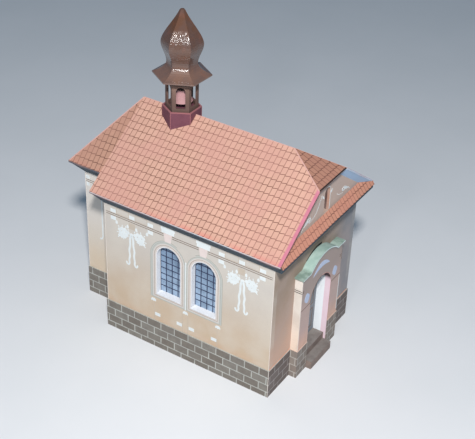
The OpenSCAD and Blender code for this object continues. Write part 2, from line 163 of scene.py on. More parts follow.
key = add_panel("key", KEY_PLACE, 6.1, 0.06, (1.0, 0.97, 0.94))
gleam = add_panel("gleam", GLEAM_PLACE, 0.26, 0.05, (1.0, 1.0, 1.0))

world = bpy.data.worlds.new("fill")
world.use_nodes = True
world.node_tree.nodes["Background"].inputs["Color"].default_value = FILL_COLOR
world.node_tree.nodes["Background"].inputs["Strength"].default_value = FILL_STRENGTH
bpy.context.scene.world = world

FLOOR_HALF = 3.0
floor_mesh = bpy.data.meshes.new("floor")
floor_mesh.from_pydata(
    [(x * FLOOR_HALF, y * FLOOR_HALF, 0) for x, y in ((-1, -1), (1, -1), (1, 1), (-1, 1))],
    [],
    [(0, 1, 2, 3)],
)
floor = bpy.data.objects.new("floor", floor_mesh)
bpy.context.scene.collection.objects.link(floor)
print("lamps:", key.name, gleam.name)

# %% [markdown]
# A node material is a small machine. To keep the machines readable, a few
# helpers make one node each and hand back its output, so that a line of code
# reads like a sum. Colours are written as ink values from 0 to 255, the way a
# printer would mix them, and turned into the light values that Blender needs.

# %% Helpers for nodes
def ink(red, green, blue):
    """A colour from 0 to 255 per channel, as linear light."""
    def light(value):
        share = value / 255
        return share / 12.92 if share <= 0.04045 else ((share + 0.055) / 1.055) ** 2.4

    return (light(red), light(green), light(blue), 1.0)


def feed(tree, value, socket):
    """Links an output to a socket, or sets the socket to a plain value."""
    if isinstance(value, bpy.types.NodeSocket):
        tree.links.new(value, socket)
    else:
        socket.default_value = value


def calc(tree, operation, first, second=None, third=None):
    """One Math node."""
    node = tree.nodes.new("ShaderNodeMath")
    node.operation = operation
    for i, value in enumerate((first, second, third)):
        if value is not None:
            feed(tree, value, node.inputs[i])
    return node.outputs[0]


def fade(tree, value, start, end, low=0.0, high=1.0):
    """Turns a value into a smooth mask that goes from low to high."""
    node = tree.nodes.new("ShaderNodeMapRange")
    node.interpolation_type = "SMOOTHSTEP"
    for i, number in enumerate((value, start, end, low, high)):
        feed(tree, number, node.inputs[i])
    return node.outputs[0]


def blend(tree, share, first, second, kind="MIX"):
    """Mixes two colours."""
    node = tree.nodes.new("ShaderNodeMix")
    node.data_type = "RGBA"
    node.blend_type = kind
    feed(tree, share, node.inputs["Factor"])
    feed(tree, first, node.inputs[6])
    feed(tree, second, node.inputs[7])
    return node.outputs[2]


def noise(tree, place, scale, detail=2.0, rough=0.5):
    """A soft random value over the surface."""
    node = tree.nodes.new("ShaderNodeTexNoise")
    feed(tree, place, node.inputs["Vector"])
    feed(tree, scale, node.inputs["Scale"])
    node.inputs["Detail"].default_value = detail
    node.inputs["Roughness"].default_value = rough
    return node.outputs["Fac"]


def new_group(name, takes, gives):
    """A node group with named sockets. Returns it with its inner sockets."""
    group = bpy.data.node_groups.new(name, "ShaderNodeTree")
    for label, kind, value in takes:
        socket = group.interface.new_socket(label, in_out="INPUT", socket_type=kind)
        socket.default_value = value
    for label, kind in gives:
        group.interface.new_socket(label, in_out="OUTPUT", socket_type=kind)
    start = group.nodes.new("NodeGroupInput").outputs
    end = group.nodes.new("NodeGroupOutput").inputs
    return group, start, end


def place_group(tree, group, **values):
    """Places a group in a tree. Values are given by socket name, _ for a space."""
    node = tree.nodes.new("ShaderNodeGroup")
    node.node_tree = group
    for label, value in values.items():
        feed(tree, value, node.inputs[label.replace("_", " ")])
    return node.outputs


NUMBER = "NodeSocketFloat"
COLOUR = "NodeSocketColor"
VECTOR = "NodeSocketVector"
print("helpers ready")

# %% [markdown]
# Every print here is laid out in millimetres on the model itself. This first
# group reads where a point is on the model and which way its surface faces, so
# the other groups can ask for the height, the length or the slope of a spot.

# %% Group: place on the model
place_print, start, end = new_group(
    "place on the model",
    [],
    [("Place", VECTOR), ("X", NUMBER), ("Y", NUMBER), ("Z", NUMBER),
     ("Faces side", NUMBER), ("Faces up", NUMBER), ("Faces front", NUMBER)],
)
coordinates = place_print.nodes.new("ShaderNodeTexCoord")
to_mm = place_print.nodes.new("ShaderNodeVectorMath")
to_mm.operation = "SCALE"
to_mm.inputs["Scale"].default_value = 1 / MM
place_print.links.new(coordinates.outputs["Object"], to_mm.inputs[0])
place_print.links.new(to_mm.outputs[0], end["Place"])
apart = place_print.nodes.new("ShaderNodeSeparateXYZ")
place_print.links.new(to_mm.outputs[0], apart.inputs[0])
for axis in "XYZ":
    place_print.links.new(apart.outputs[axis], end[axis])
geometry = place_print.nodes.new("ShaderNodeNewGeometry")
faces = place_print.nodes.new("ShaderNodeSeparateXYZ")
place_print.links.new(geometry.outputs["True Normal"], faces.inputs[0])
side_share = calc(place_print, "ABSOLUTE", faces.outputs["X"])
place_print.links.new(fade(place_print, side_share, 0.85, 0.95), end["Faces side"])
place_print.links.new(fade(place_print, faces.outputs["Z"], 0.25, 0.35), end["Faces up"])
place_print.links.new(fade(place_print, faces.outputs["Y"], -0.85, -0.95), end["Faces front"])
print("group:", place_print.name)

# %% [markdown]
# Printed card is never one flat colour. The ink lies in soft patches, and the
# paper's fibres show through as fine grain. Both could be image textures, but
# noise has no seams and no edge, so one group serves every wall and roof.

# %% Group: ink on paper
paper_ink, start, end = new_group(
    "ink on paper",
    [("Color", COLOUR, (0.8, 0.8, 0.8, 1)), ("Patch", COLOUR, (0.7, 0.7, 0.7, 1)),
     ("Patch size", NUMBER, 12.0), ("Patch share", NUMBER, 0.5),
     ("Grain size", NUMBER, 0.4), ("Grain share", NUMBER, 0.12)],
    [("Color", COLOUR), ("Rough", NUMBER), ("Height", NUMBER)],
)
where = place_group(paper_ink, place_print)["Place"]
patch = noise(paper_ink, where, calc(paper_ink, "DIVIDE", 1.0, start["Patch size"]), 3.0, 0.55)
patch_mask = calc(paper_ink, "MULTIPLY", fade(paper_ink, patch, 0.35, 0.68), start["Patch share"])
patched = blend(paper_ink, patch_mask, start["Color"], start["Patch"])
grain = noise(paper_ink, where, calc(paper_ink, "DIVIDE", 1.0, start["Grain size"]), 4.0, 0.7)
grain_shade = calc(paper_ink, "MULTIPLY_ADD", calc(paper_ink, "SUBTRACT", grain, 0.5),
                   start["Grain share"], 1.0)
grey = paper_ink.nodes.new("ShaderNodeCombineColor")
for channel in range(3):
    feed(paper_ink, grain_shade, grey.inputs[channel])
feed(paper_ink, blend(paper_ink, 1.0, patched, grey.outputs[0], "MULTIPLY"), end["Color"])
feed(paper_ink, fade(paper_ink, grain, 0.3, 0.7, 0.62, 0.8), end["Rough"])
feed(paper_ink, grain, end["Height"])
print("group:", paper_ink.name)

# %% [markdown]
# The roofs are printed with rows of tiles. Each tile's lower edge rises a
# little across the tile and drops back at the joint, and the joints run
# straight up the slope. Two distances make the pattern: one along the eaves
# and one up the slope.

# %% Group: printed tiles
TILE_WIDTH = 2.515
TILE_COURSE = 3.47

tile_print, start, end = new_group(
    "printed tiles",
    [("Along", NUMBER, 0.0), ("Up", NUMBER, 0.0), ("Width", NUMBER, TILE_WIDTH),
     ("Course", NUMBER, TILE_COURSE), ("Rise", NUMBER, 0.42), ("Line", NUMBER, 0.36),
     ("Tile", COLOUR, (0.8, 0.5, 0.4, 1)), ("Joint", COLOUR, (0.3, 0.1, 0.1, 1)),
     ("Joint share", NUMBER, 0.92)],
    [("Color", COLOUR)],
)
across = calc(tile_print, "DIVIDE", start["Along"], start["Width"])
in_tile = calc(tile_print, "FRACT", across)
to_joint = calc(tile_print, "PINGPONG", across, 0.5)
joint_gap = calc(tile_print, "MULTIPLY", to_joint, start["Width"])
lift = calc(tile_print, "MULTIPLY", fade(tile_print, in_tile, 0.0, 1.0, 0.5, -0.5), start["Rise"])
bent = calc(tile_print, "DIVIDE", calc(tile_print, "SUBTRACT", start["Up"], lift), start["Course"])
course_gap = calc(tile_print, "MULTIPLY", calc(tile_print, "PINGPONG", bent, 0.5), start["Course"])
half_line = calc(tile_print, "MULTIPLY", start["Line"], 0.3)
full_line = calc(tile_print, "MULTIPLY", start["Line"], 0.62)
course_line = fade(tile_print, course_gap, half_line, full_line, 1.0, 0.0)
joint_line = fade(tile_print, joint_gap, half_line, full_line, 0.75, 0.0)
lines = calc(tile_print, "MAXIMUM", course_line, joint_line)
pick = tile_print.nodes.new("ShaderNodeCombineXYZ")
feed(tile_print, calc(tile_print, "FLOOR", across), pick.inputs[0])
feed(tile_print, calc(tile_print, "FLOOR", bent), pick.inputs[1])
dice = tile_print.nodes.new("ShaderNodeTexWhiteNoise")
dice.noise_dimensions = "2D"
tile_print.links.new(pick.outputs[0], dice.inputs["Vector"])
own = fade(tile_print, dice.outputs["Value"], 0.0, 1.0, 0.0, 0.08)
varied = blend(tile_print, own, start["Tile"], start["Joint"])
feed(tile_print, blend(tile_print, calc(tile_print, "MULTIPLY", lines, start["Joint share"]),
                       varied, start["Joint"]), end["Color"])
print("group:", tile_print.name, TILE_WIDTH, "by", TILE_COURSE, "mm")

# %% [markdown]
# The plinth is printed as cut stone in a running bond, where each course is
# shifted by half a block. The same sum works on every side of the building if
# the distance along the wall is taken as X plus Y, because one of them stands
# still on each face.

# %% Group: printed stone blocks
BLOCK_LENGTH = 7.7
BLOCK_COURSE = 4.2

block_print, start, end = new_group(
    "printed blocks",
    [("Along", NUMBER, 0.0), ("Up", NUMBER, 0.0), ("Length", NUMBER, BLOCK_LENGTH),
     ("Course", NUMBER, BLOCK_COURSE), ("Line", NUMBER, 0.42),
     ("Block", COLOUR, (0.2, 0.2, 0.2, 1)), ("Mortar", COLOUR, (0.5, 0.5, 0.5, 1))],
    [("Color", COLOUR)],
)
level = calc(block_print, "DIVIDE", start["Up"], start["Course"])
row = calc(block_print, "FLOOR", level)
shift = calc(block_print, "MULTIPLY", row, 0.5)
along = calc(block_print, "DIVIDE", start["Along"], start["Length"])
along = calc(block_print, "ADD", along, shift)
gap_up = calc(block_print, "MULTIPLY", calc(block_print, "PINGPONG", level, 0.5), start["Course"])
gap_along = calc(block_print, "PINGPONG", along, 0.5)
gap_along = calc(block_print, "MULTIPLY", gap_along, start["Length"])
nearest = calc(block_print, "MINIMUM", gap_up, gap_along)
mortar = fade(block_print, nearest, calc(block_print, "MULTIPLY", start["Line"], 0.35),
              calc(block_print, "MULTIPLY", start["Line"], 0.8), 1.0, 0.0)
pick = block_print.nodes.new("ShaderNodeCombineXYZ")
feed(block_print, calc(block_print, "FLOOR", along), pick.inputs[0])
feed(block_print, row, pick.inputs[1])
dice = block_print.nodes.new("ShaderNodeTexWhiteNoise")
dice.noise_dimensions = "2D"
block_print.links.new(pick.outputs[0], dice.inputs["Vector"])
shade = fade(block_print, dice.outputs["Value"], 0.0, 1.0, 0.0, 0.16)
stone = blend(block_print, shade, start["Block"], start["Mortar"])
feed(block_print, blend(block_print, mortar, stone, start["Mortar"]), end["Color"])
print("group:", block_print.name, BLOCK_LENGTH, "by", BLOCK_COURSE, "mm")

# %% [markdown]
# Each finish is a Principled shader with a few of these groups in front of it.
# A card finish needs the same three links every time: the colour, the
# roughness that follows the grain, and a faint bump from the paper's fibres.

# %% Start a card finish
finishes = {}
PAPER_DEPTH = 0.00002


def start_finish(name, gloss=0.35, coat=0.0, coat_rough=0.2):
    """A new material with its place group. Returns tree, shader and places."""
    material = bpy.data.materials.new(name)
    material.use_nodes = True
    tree = material.node_tree
    shader = tree.nodes["Principled BSDF"]
    shader.inputs["Specular IOR Level"].default_value = gloss
    shader.inputs["Coat Weight"].default_value = coat
    shader.inputs["Coat Roughness"].default_value = coat_rough
    finishes[name] = material
    return tree, shader, place_group(tree, place_print)


def print_card(tree, shader, color, patch, size=12.0, share=0.5, grain=0.4, speck=0.12,
               bump=0.35, rough=None):
    """Lays ink on paper and links it to the shader."""
    laid = place_group(tree, paper_ink, Color=color, Patch=patch, Patch_size=size,
                       Patch_share=share, Grain_size=grain, Grain_share=speck)
    feed(tree, laid["Color"], shader.inputs["Base Color"])
    feed(tree, laid["Rough"] if rough is None else rough, shader.inputs["Roughness"])
    fibres = tree.nodes.new("ShaderNodeBump")
    fibres.inputs["Strength"].default_value = bump
    fibres.inputs["Distance"].default_value = PAPER_DEPTH
    feed(tree, laid["Height"], fibres.inputs["Height"])
    feed(tree, fibres.outputs[0], shader.inputs["Normal"])


print("paper depth", PAPER_DEPTH / MM, "mm")

# %% [markdown]
# The side walls fade from a warm tan at the foot to a paler grey at the top,
# and a warmer band just above the plinth is painted bounce light from below.
# The chancel is a little lighter. The front is a darker taupe; its warm foot is
# painted bounce light and its blue-grey right side is painted reflected light.
# The sides of the gable's niche are brown and darken towards the back as
# painted shade.

# %% Finish: walls
def front_color_with_bounce(tree, at):
    """The front's taupe, with painted warm bounce light at the foot and painted blue-grey reflected
    light on the right.
    """
    # Warm at the foot: painted bounce light. Blue-grey on the right: painted reflected light.
    climb = fade(tree, at["Z"], plinth_high.z, 58)
    color = blend(tree, climb, ink(202, 168, 149), ink(157, 138, 122))
    color = blend(tree, fade(tree, at["X"], 10, 32, 0.0, 0.85), color, ink(128, 135, 144))
    return blend(tree, fade(tree, at["Z"], 78, 84), color, ink(191, 170, 158))


tree, shader, at = start_finish("wall_print")
climb = fade(tree, at["Z"], plinth_high.z, 62)
base = blend(tree, climb, ink(191, 170, 146), ink(191, 185, 178))
# A warmer band just above the plinth: painted bounce light from below.
foot = fade(tree, at["Z"], plinth_high.z, plinth_high.z + 5, 0.2, 0.0)
base = blend(tree, foot, base, ink(205, 160, 128))
climb = fade(tree, at["Z"], plinth_high.z, 48)
lighter = blend(tree, climb, ink(216, 200, 178), ink(214, 210, 205))
base = blend(tree, fade(tree, at["Y"], REAR, REAR + 3, 0.0, 0.6), base, lighter)
base = blend(tree, at["Faces front"], base, front_color_with_bounce(tree, at))
print_card(tree, shader, base, ink(204, 197, 186), size=16, share=0.4, speck=0.2)

tree, shader, at = start_finish("front_print")
# The niche's sides darken towards the back: painted shade in the recess.
niche_painted_shade = fade(tree, at["Y"], GABLE + 1.0, GABLE + 1.5)
niche_side_shade = blend(tree, niche_painted_shade, ink(178, 140, 124), ink(88, 66, 62))
inner = calc(tree, "MULTIPLY", at["Faces side"], fade(tree, at["Z"], 80, 81))
base = blend(tree, inner, front_color_with_bounce(tree, at), niche_side_shade)
print_card(tree, shader, base, ink(179, 162, 156), size=14, share=0.4, speck=0.2)
print("finishes:", len(finishes))

# %% [markdown]
# The plinth takes the block group. Its courses start a little below the ground,
# so that a whole course ends at the top.

# %% Finish: plinth
PLINTH_START = 1.25
tree, shader, at = start_finish("plinth_print")
blocks = place_group(
    tree, block_print,
    Along=calc(tree, "ADD", at["X"], at["Y"]),
    Up=calc(tree, "ADD", at["Z"], PLINTH_START),
    Block=blend(tree, at["Faces front"], ink(116, 109, 101), ink(102, 91, 86)),
    Mortar=blend(tree, at["Faces front"], ink(182, 184, 178), ink(160, 153, 152)),
)
print_card(tree, shader, blocks["Color"], ink(96, 88, 84), size=3, share=0.3, grain=0.3, speck=0.5)
print("plinth to", round(plinth_high.z, 1), "mm")

# %% [markdown]
# Five roof finishes share one recipe. They differ in the slope's steepness, in
# the direction of the eaves, and in the ink: the front slopes are a deeper
# orange brown, and the chancel is duller. Some blush coral along the eaves.
# Faces that don't look up show the ink of the cut edge, and slate just under the
# eaves. Along the front rakes the cut is dark on the left and pale on the right.

# %% Finish: roofs
SLATE = ink(70, 82, 96)


def roof_finish(name, direction, low, pitch, tile, patch, joint, edge, start_at=0.0,
                coral=0.0):
    """A printed tile roof whose eaves run along direction and start at height low."""
    tree, shader, at = start_finish(name)
    up = calc(tree, "DIVIDE", calc(tree, "SUBTRACT", at["Z"], low), math.sin(pitch))
    tiles = place_group(
        tree, tile_print,
        Along=calc(tree, "SUBTRACT", at[direction], start_at), Up=up, Tile=tile, Joint=joint,
    )
    color = tiles["Color"]
    if coral:
        warm = noise(tree, at["Place"], 0.14, 1.0)
        share = calc(tree, "MULTIPLY", fade(tree, up, 0.6, 2.6, coral, 0.0),
                     fade(tree, warm, 0.38, 0.55))
        share = calc(tree, "MULTIPLY", share, fade(tree, at["Y"], FRONT + 30, REAR, 1.0, 0.2))
        color = blend(tree, share, color, ink(206, 92, 88))
    cut = blend(tree, fade(tree, at["Z"], low - 0.5, low - 0.35), SLATE, edge)
    rake_cut = blend(tree, fade(tree, at["X"], -1, 1), ink(88, 54, 62), ink(186, 198, 214))
    cut = blend(tree, at["Faces front"], cut, rake_cut)
    color = blend(tree, at["Faces up"], cut, color)
    print_card(tree, shader, color, patch, size=17, share=0.42, grain=0.3, speck=0.12)


HIP_LOW = 98.2
HIP_PITCH = math.atan2(RIDGE - HIP_LOW, hip_high_corner.y - hip_low_corner.y)
PENT_LOW = 75.8
PENT_PITCH = math.atan2(pent_high_corner.z - PENT_LOW, GABLE - pent_low_corner.y)
CHANCEL_EAVE_X = -span("chancel_roof_left")[0].x
CHANCEL_EAVE_Y = span("chancel_roof_rear")[1].y
CHANCEL_PITCH = math.atan2(RIDGE - EAVE, CHANCEL_EAVE_X)
REAR_PITCH = math.atan2(RIDGE - EAVE, CHANCEL_EAVE_Y - ROOF_REAR)

JOINT_INK = ink(98, 58, 46)
roof_finish("roof_print", "Y", EAVE, PITCH, ink(202, 159, 141), ink(192, 140, 131), JOINT_INK,
            ink(196, 200, 204), start_at=FRONT - 2.4, coral=0.32)
roof_finish("hip_print", "X", HIP_LOW, HIP_PITCH, ink(174, 127, 108), ink(164, 114, 101),
            ink(80, 50, 42), SLATE)
roof_finish("pent_print", "X", PENT_LOW, PENT_PITCH, ink(199, 142, 120), ink(188, 127, 111),
            ink(92, 56, 46), ink(104, 84, 80))
roof_finish("chancel_print", "Y", EAVE, CHANCEL_PITCH, ink(181, 139, 120), ink(172, 127, 112),
            ink(92, 58, 48), ink(120, 100, 96), coral=0.5)
roof_finish("rear_print", "X", EAVE, REAR_PITCH, ink(181, 139, 120), ink(172, 127, 112),
            ink(92, 58, 48), ink(120, 100, 96), coral=0.5)
print("rows on the nave:", round(SLOPE / TILE_COURSE))

# %% [markdown]
# The coves are the curved cornices under the eaves, here folded from slate
# grey card, which darkens towards the eaves as painted shade. Under the front's
# right verge it turns pale blue, painted light where that side is lit. The
# portal is cream on its sides and taupe in front, with painted warm bounce light
# above its plinth and low on its sides, and pale copper lies on its top.

# %% Finish: coves, portal, copper and steps
tree, shader, at = start_finish("cove_print")
# Darker towards the eaves: painted shade.
base = blend(tree, fade(tree, at["Z"], 70, 78), ink(62, 74, 84), ink(46, 58, 70))
print_card(tree, shader, base, ink(72, 86, 96), size=9, share=0.5, speck=0.18)

tree, shader, at = start_finish("verge_print")
# Pale blue on the right of the front verge: painted light where that side is lit.
base = blend(tree, fade(tree, at["X"], -2, 2), ink(58, 70, 84), ink(160, 186, 214))
print_card(tree, shader, base, ink(150, 170, 190), size=9, share=0.25, speck=0.15)

tree, shader, at = start_finish("portal_print")
# Painted warm bounce light above the plinth.
bounce_glow = fade(tree, at["Z"], plinth_high.z, plinth_high.z + 12, 1.0, 0.0)
front = blend(tree, fade(tree, at["Z"], 34, 50), ink(190, 166, 160), ink(162, 147, 142))
front = blend(tree, bounce_glow, front, ink(216, 176, 158))
# The sides are warmer low down: painted bounce light.
sides = blend(tree, fade(tree, at["Z"], 16, 40), ink(224, 206, 190), ink(216, 210, 202))
base = blend(tree, at["Faces side"], front, sides)
stones = place_group(
    tree, block_print,
    Along=calc(tree, "ADD", at["X"], at["Y"]), Up=calc(tree, "ADD", at["Z"], PLINTH_START),
    Length=5.2, Block=ink(118, 108, 102), Mortar=ink(180, 178, 172), Line=0.36,
)
below = fade(tree, at["Z"], plinth_high.z - 0.02, plinth_high.z + 0.02, 1.0, 0.0)
base = blend(tree, below, base, stones["Color"])
print_card(tree, shader, base, ink(168, 152, 140), size=10, share=0.3, speck=0.2)

tree, shader, at = start_finish("copper_print", gloss=0.4)
base = blend(tree, fade(tree, at["Z"], 56.4, 57.4), ink(122, 144, 134), ink(150, 176, 168))
base = blend(tree, fade(tree, at["Z"], 59, 61), base, ink(146, 172, 164))
base = blend(tree, at["Faces front"], base, ink(206, 220, 220))
print_card(tree, shader, base, ink(184, 204, 196), size=4, share=0.5, grain=0.25, speck=0.25)

tree, shader, at = start_finish("step_print")
base = blend(tree, at["Faces up"], ink(135, 119, 111), ink(130, 124, 120))
print_card(tree, shader, base, ink(98, 88, 84), size=3, share=0.45, grain=0.3, speck=0.5)
print("finishes:", len(finishes))

# %% [markdown]
# The door is one sheet printed with boards. The window sheets are printed with
# blue-grey panes, a little shinier than the walls. The linings are bare white
# card.

# %% Finish: door, panes and white card
tree, shader, at = start_finish("door_print")
BOARD_WIDTH = 1.9
boards = calc(tree, "PINGPONG", calc(tree, "DIVIDE", at["X"], BOARD_WIDTH), 0.5)
boards = calc(tree, "MULTIPLY", boards, BOARD_WIDTH)
base = blend(tree, fade(tree, boards, 0.06, 0.2, 0.3, 0.0), ink(128, 133, 139), ink(84, 86, 92))
print_card(tree, shader, base, ink(108, 114, 122), size=5, share=0.5, grain=0.3, speck=0.3)

tree, shader, at = start_finish("window_print", gloss=0.6, coat=0.35, coat_rough=0.12)
climb = fade(tree, at["Z"], 32, 58)
base = blend(tree, climb, ink(151, 174, 199), ink(112, 136, 163))
print_card(tree, shader, base, ink(82, 104, 128), size=4, share=0.55, grain=0.5, speck=0.15,
           bump=0.15)

tree, shader, at = start_finish("white_card")
print_card(tree, shader, ink(221, 223, 227), ink(211, 214, 219), size=5, share=0.4, speck=0.06)
print("finishes:", len(finishes))

# %% [markdown]
# The turret's base is burgundy and its lantern is taupe brown, with a dark band
# of painted shade under the dome's skirt. The bell is a dusty pink, and its
# crown is dark with painted shade from the lantern's top. The dome is brown card
# under varnish: a clear coat over small dents breaks its highlights up, and it
# ends below the tip, where the card is dull. Its specular level and coat
# roughness change with height, and an export drops those two links, so other
# finishes here set them as plain values.

# %% Finish: turret, bell and dome
LANTERN_SHADE_FROM = 121.3
BELL_SHADE_FROM = 117.2
VARNISH_END = 144.5
DENT_DEPTH = 0.00018

tree, shader, at = start_finish("turret_print")
print_card(tree, shader, ink(110, 66, 79), ink(95, 54, 68), size=3, share=0.5, grain=0.3, speck=0.3)

tree, shader, at = start_finish("lantern_print")
base = blend(tree, fade(tree, at["Z"], 112, 124), ink(100, 78, 72), ink(128, 104, 92))
# A band of painted shade under the dome's skirt.
base = blend(tree, fade(tree, at["Z"], LANTERN_SHADE_FROM, LANTERN_SHADE_FROM + 0.6), base, ink(34, 28, 28))
print_card(tree, shader, base, ink(96, 76, 68), size=4, share=0.5, grain=0.3, speck=0.2)

tree, shader, at = start_finish("bell_print", gloss=0.3)
# The bell's crown is painted shade, from the lantern's top over it.
crown_shade = fade(tree, at["Z"], BELL_SHADE_FROM, BELL_SHADE_FROM + 0.4)
base = blend(tree, crown_shade, ink(174, 134, 136), ink(40, 28, 26))
print_card(tree, shader, base, ink(158, 116, 118), size=3, share=0.3, speck=0.1)

tree, shader, at = start_finish("dome_print", gloss=0.25, coat=1.0)
climb = fade(tree, at["Z"], 126, 134)
base = blend(tree, climb, ink(117, 88, 75), ink(93, 66, 53))
streak = noise(tree, at["Place"], 0.22, 2.0)
base = blend(tree, fade(tree, streak, 0.55, 0.72, 0.0, 0.35), base, ink(124, 74, 58))
upper = fade(tree, at["Z"], VARNISH_END, VARNISH_END + 3.0)
print_card(tree, shader, base, ink(88, 76, 76), size=5, share=0.4, grain=0.5, speck=0.1,
           rough=calc(tree, "MULTIPLY_ADD", upper, 0.35, 0.5))
feed(tree, calc(tree, "SUBTRACT", 1.0, upper), shader.inputs["Coat Weight"])
feed(tree, calc(tree, "MULTIPLY_ADD", upper, -0.2, 0.25), shader.inputs["Specular IOR Level"])
feed(tree, calc(tree, "MULTIPLY_ADD", upper, 0.2, 0.07), shader.inputs["Coat Roughness"])
dents = tree.nodes.new("ShaderNodeBump")
dents.inputs["Distance"].default_value = DENT_DEPTH
feed(tree, fade(tree, at["Z"], 132, 138, 0.2, 1.0), dents.inputs["Strength"])
feed(tree, noise(tree, at["Place"], 0.8, 3.0), dents.inputs["Height"])
feed(tree, dents.outputs[0], shader.inputs["Normal"])
feed(tree, dents.outputs[0], shader.inputs["Coat Normal"])
print("finishes:", len(finishes))

# %% [markdown]
# The ornament is printed too, but a print has an edge that catches the eye, so
# it is made as very thin layers on the walls, each in its own ink.

# %% Finish: inks
def ink_finish(name, color, patch, share=0.4, speck=0.1):
    """A thin layer of one ink."""
    tree, shader, at = start_finish(name)
    print_card(tree, shader, color, patch, size=2.5, share=share, grain=0.25, speck=speck)


ink_finish("white_ink", ink(216, 222, 223), ink(202, 208, 210))
ink_finish("cream_ink", ink(222, 214, 206), ink(210, 202, 196))
ink_finish("surround_ink", ink(204, 196, 190), ink(196, 188, 184))
ink_finish("beige_ink", ink(162, 148, 136), ink(172, 160, 148))
ink_finish("grey_ink", ink(160, 160, 152), ink(170, 170, 162))
ink_finish("blue_ink", ink(184, 186, 181), ink(178, 182, 180))
ink_finish("pale_blue_ink", ink(186, 200, 224), ink(178, 182, 206))
ink_finish("brown_ink", ink(112, 96, 86), ink(136, 118, 106))
ink_finish("faint_ink", ink(184, 172, 158), ink(194, 182, 168))
ink_finish("keystone_ink", ink(216, 202, 198), ink(206, 192, 188))
ink_finish("rose_ink", ink(188, 112, 132), ink(200, 134, 146))
ink_finish("crease_ink", ink(194, 152, 144), ink(204, 166, 158))
ink_finish("salmon_ink", ink(222, 158, 130), ink(212, 150, 126))
ink_finish("navy_ink", ink(42, 50, 78), ink(56, 64, 92))
ink_finish("black_ink", ink(36, 34, 34), ink(48, 44, 42))
ink_finish("niche_ink", ink(128, 100, 88), ink(110, 84, 74))
ink_finish("rim_ink", ink(158, 104, 108), ink(146, 92, 98))
print("finishes:", len(finishes))

# %% [markdown]
# The floor is pale paper. It is only there to catch the shadow, so its patches
# are wide and it has hardly any specks.

# %% Finish: floor
tree, shader, at = start_finish("floor_paper", gloss=0.2)
print_card(tree, shader, ink(222, 224, 227), ink(216, 219, 222), size=60, share=0.4, speck=0.02)
floor_mesh.materials.append(finishes["floor_paper"])

# %% [markdown]
# The shapes now get their finishes. The record names a slot for each shape,
# and most shapes use the finish of the same name. A few need one that is laid
# out for their own direction, so those are named here.

# %% Give the shapes their finishes
OWN_FINISH = {
    "pent_roof": "pent_print",
    "chancel_roof_left": "chancel_print",
    "chancel_roof_right": "chancel_print",
    "chancel_roof_rear": "rear_print",
    "front_verge_cove": "verge_print",
}
slot_of = {part["node"]: part["material_slot"] for part in frame["record"]["subparts"]}
for name, shape in nodes.items():
    shape.data.materials.clear()
    shape.data.materials.append(finishes[OWN_FINISH.get(name, slot_of[name])])
    for face in shape.data.polygons:
        face.material_index = 0
print("shapes with a finish:", len(nodes))

# %% [markdown]
# An ornament is drawn in millimetres on a flat face of the model: along it, and
# up it. Each outline becomes a closed solid as thin as a layer of paint. The
# first helper closes an outline, the second closes the band between two lines,
# and the third draws a line of even width through points.

# %% Helpers for thin layers
LAYER = 0.06


def outline(points, thick=LAYER):
    """A closed thin solid with the given outline."""
    count = len(points)
    corners = [(u, v, 0) for u, v in points] + [(u, v, thick) for u, v in points]
    sides = [(i, (i + 1) % count, count + (i + 1) % count, count + i) for i in range(count)]
    return corners, [tuple(range(count)), tuple(range(count, 2 * count))] + sides


def band(inner, outer, thick=LAYER, ring=False):
    """A closed thin solid between two lines with as many points each."""
    n = len(inner)
    corners = [(u, v, 0) for u, v in inner] + [(u, v, 0) for u, v in outer]
    corners += [(u, v, thick) for u, v in inner] + [(u, v, thick) for u, v in outer]
    sides = []
    for i in range(n if ring else n - 1):
        j = (i + 1) % n
        sides += [(i, j, n + j, n + i), (2 * n + i, 2 * n + j, 3 * n + j, 3 * n + i),
                  (i, j, 2 * n + j, 2 * n + i), (n + i, n + j, 3 * n + j, 3 * n + i)]
    if not ring:
        sides += [(0, n, 3 * n, 2 * n), (n - 1, 2 * n - 1, 4 * n - 1, 3 * n - 1)]
    return corners, sides


def line(points, width, thick=LAYER, taper=1.0):
    """A line of even width through points. With taper, its end is narrower."""
    left, right = [], []
    last = len(points) - 1
    for i, (u, v) in enumerate(points):
        u0, v0 = points[max(i - 1, 0)]
        u1, v1 = points[min(i + 1, last)]
        length = math.hypot(u1 - u0, v1 - v0)
        half = width / 2 * (1 + (taper - 1) * i / last)
        du, dv = -(v1 - v0) / length * half, (u1 - u0) / length * half
        left.append((u + du, v + dv))
        right.append((u - du, v - dv))
    return band(left, right, thick)


def rect(u, v, width, height, thick=LAYER):
    """A rectangle around its middle."""
    a, b = width / 2, height / 2
    return outline([(u - a, v - b), (u + a, v - b), (u + a, v + b), (u - a, v + b)], thick)


def oval(u, v, width, height, turn=0.0, petals=0, depth=0.0, thick=LAYER, steps=20):
    """An oval, or a flower with petals, turned by an angle in degrees."""
    points = []
    for i in range(steps):
        angle = 2 * math.pi * i / steps
        reach = 1 + depth * math.cos(petals * angle)
        a = math.cos(angle) * width / 2 * reach
        b = math.sin(angle) * height / 2 * reach
        c, s = math.cos(math.radians(turn)), math.sin(math.radians(turn))
        points.append((u + a * c - b * s, v + a * s + b * c))
    return outline(points, thick)


def curve(points, steps=6):
    """A smooth line through points."""
    ends = [points[0]] + list(points) + [points[-1]]
    smooth = []
    for i in range(1, len(ends) - 2):
        p0, p1, p2, p3 = ends[i - 1:i + 3]
        for k in range(steps):
            t = k / steps
            smooth.append(tuple(
                0.5 * (2 * b + (c - a) * t + (2 * a - 5 * b + 4 * c - d) * t * t
                       + (3 * b - a - 3 * c + d) * t ** 3)
                for a, b, c, d in zip(p0, p1, p2, p3)
            ))
    return smooth + [points[-1]]


print("layer", LAYER, "mm")

# %% [markdown]
# A face says where a drawing lies: its corner, the way along it, the way up it
# and the way out of it. The last helper turns drawings on a face into one mesh
# object that rides on the model and has the given finish.

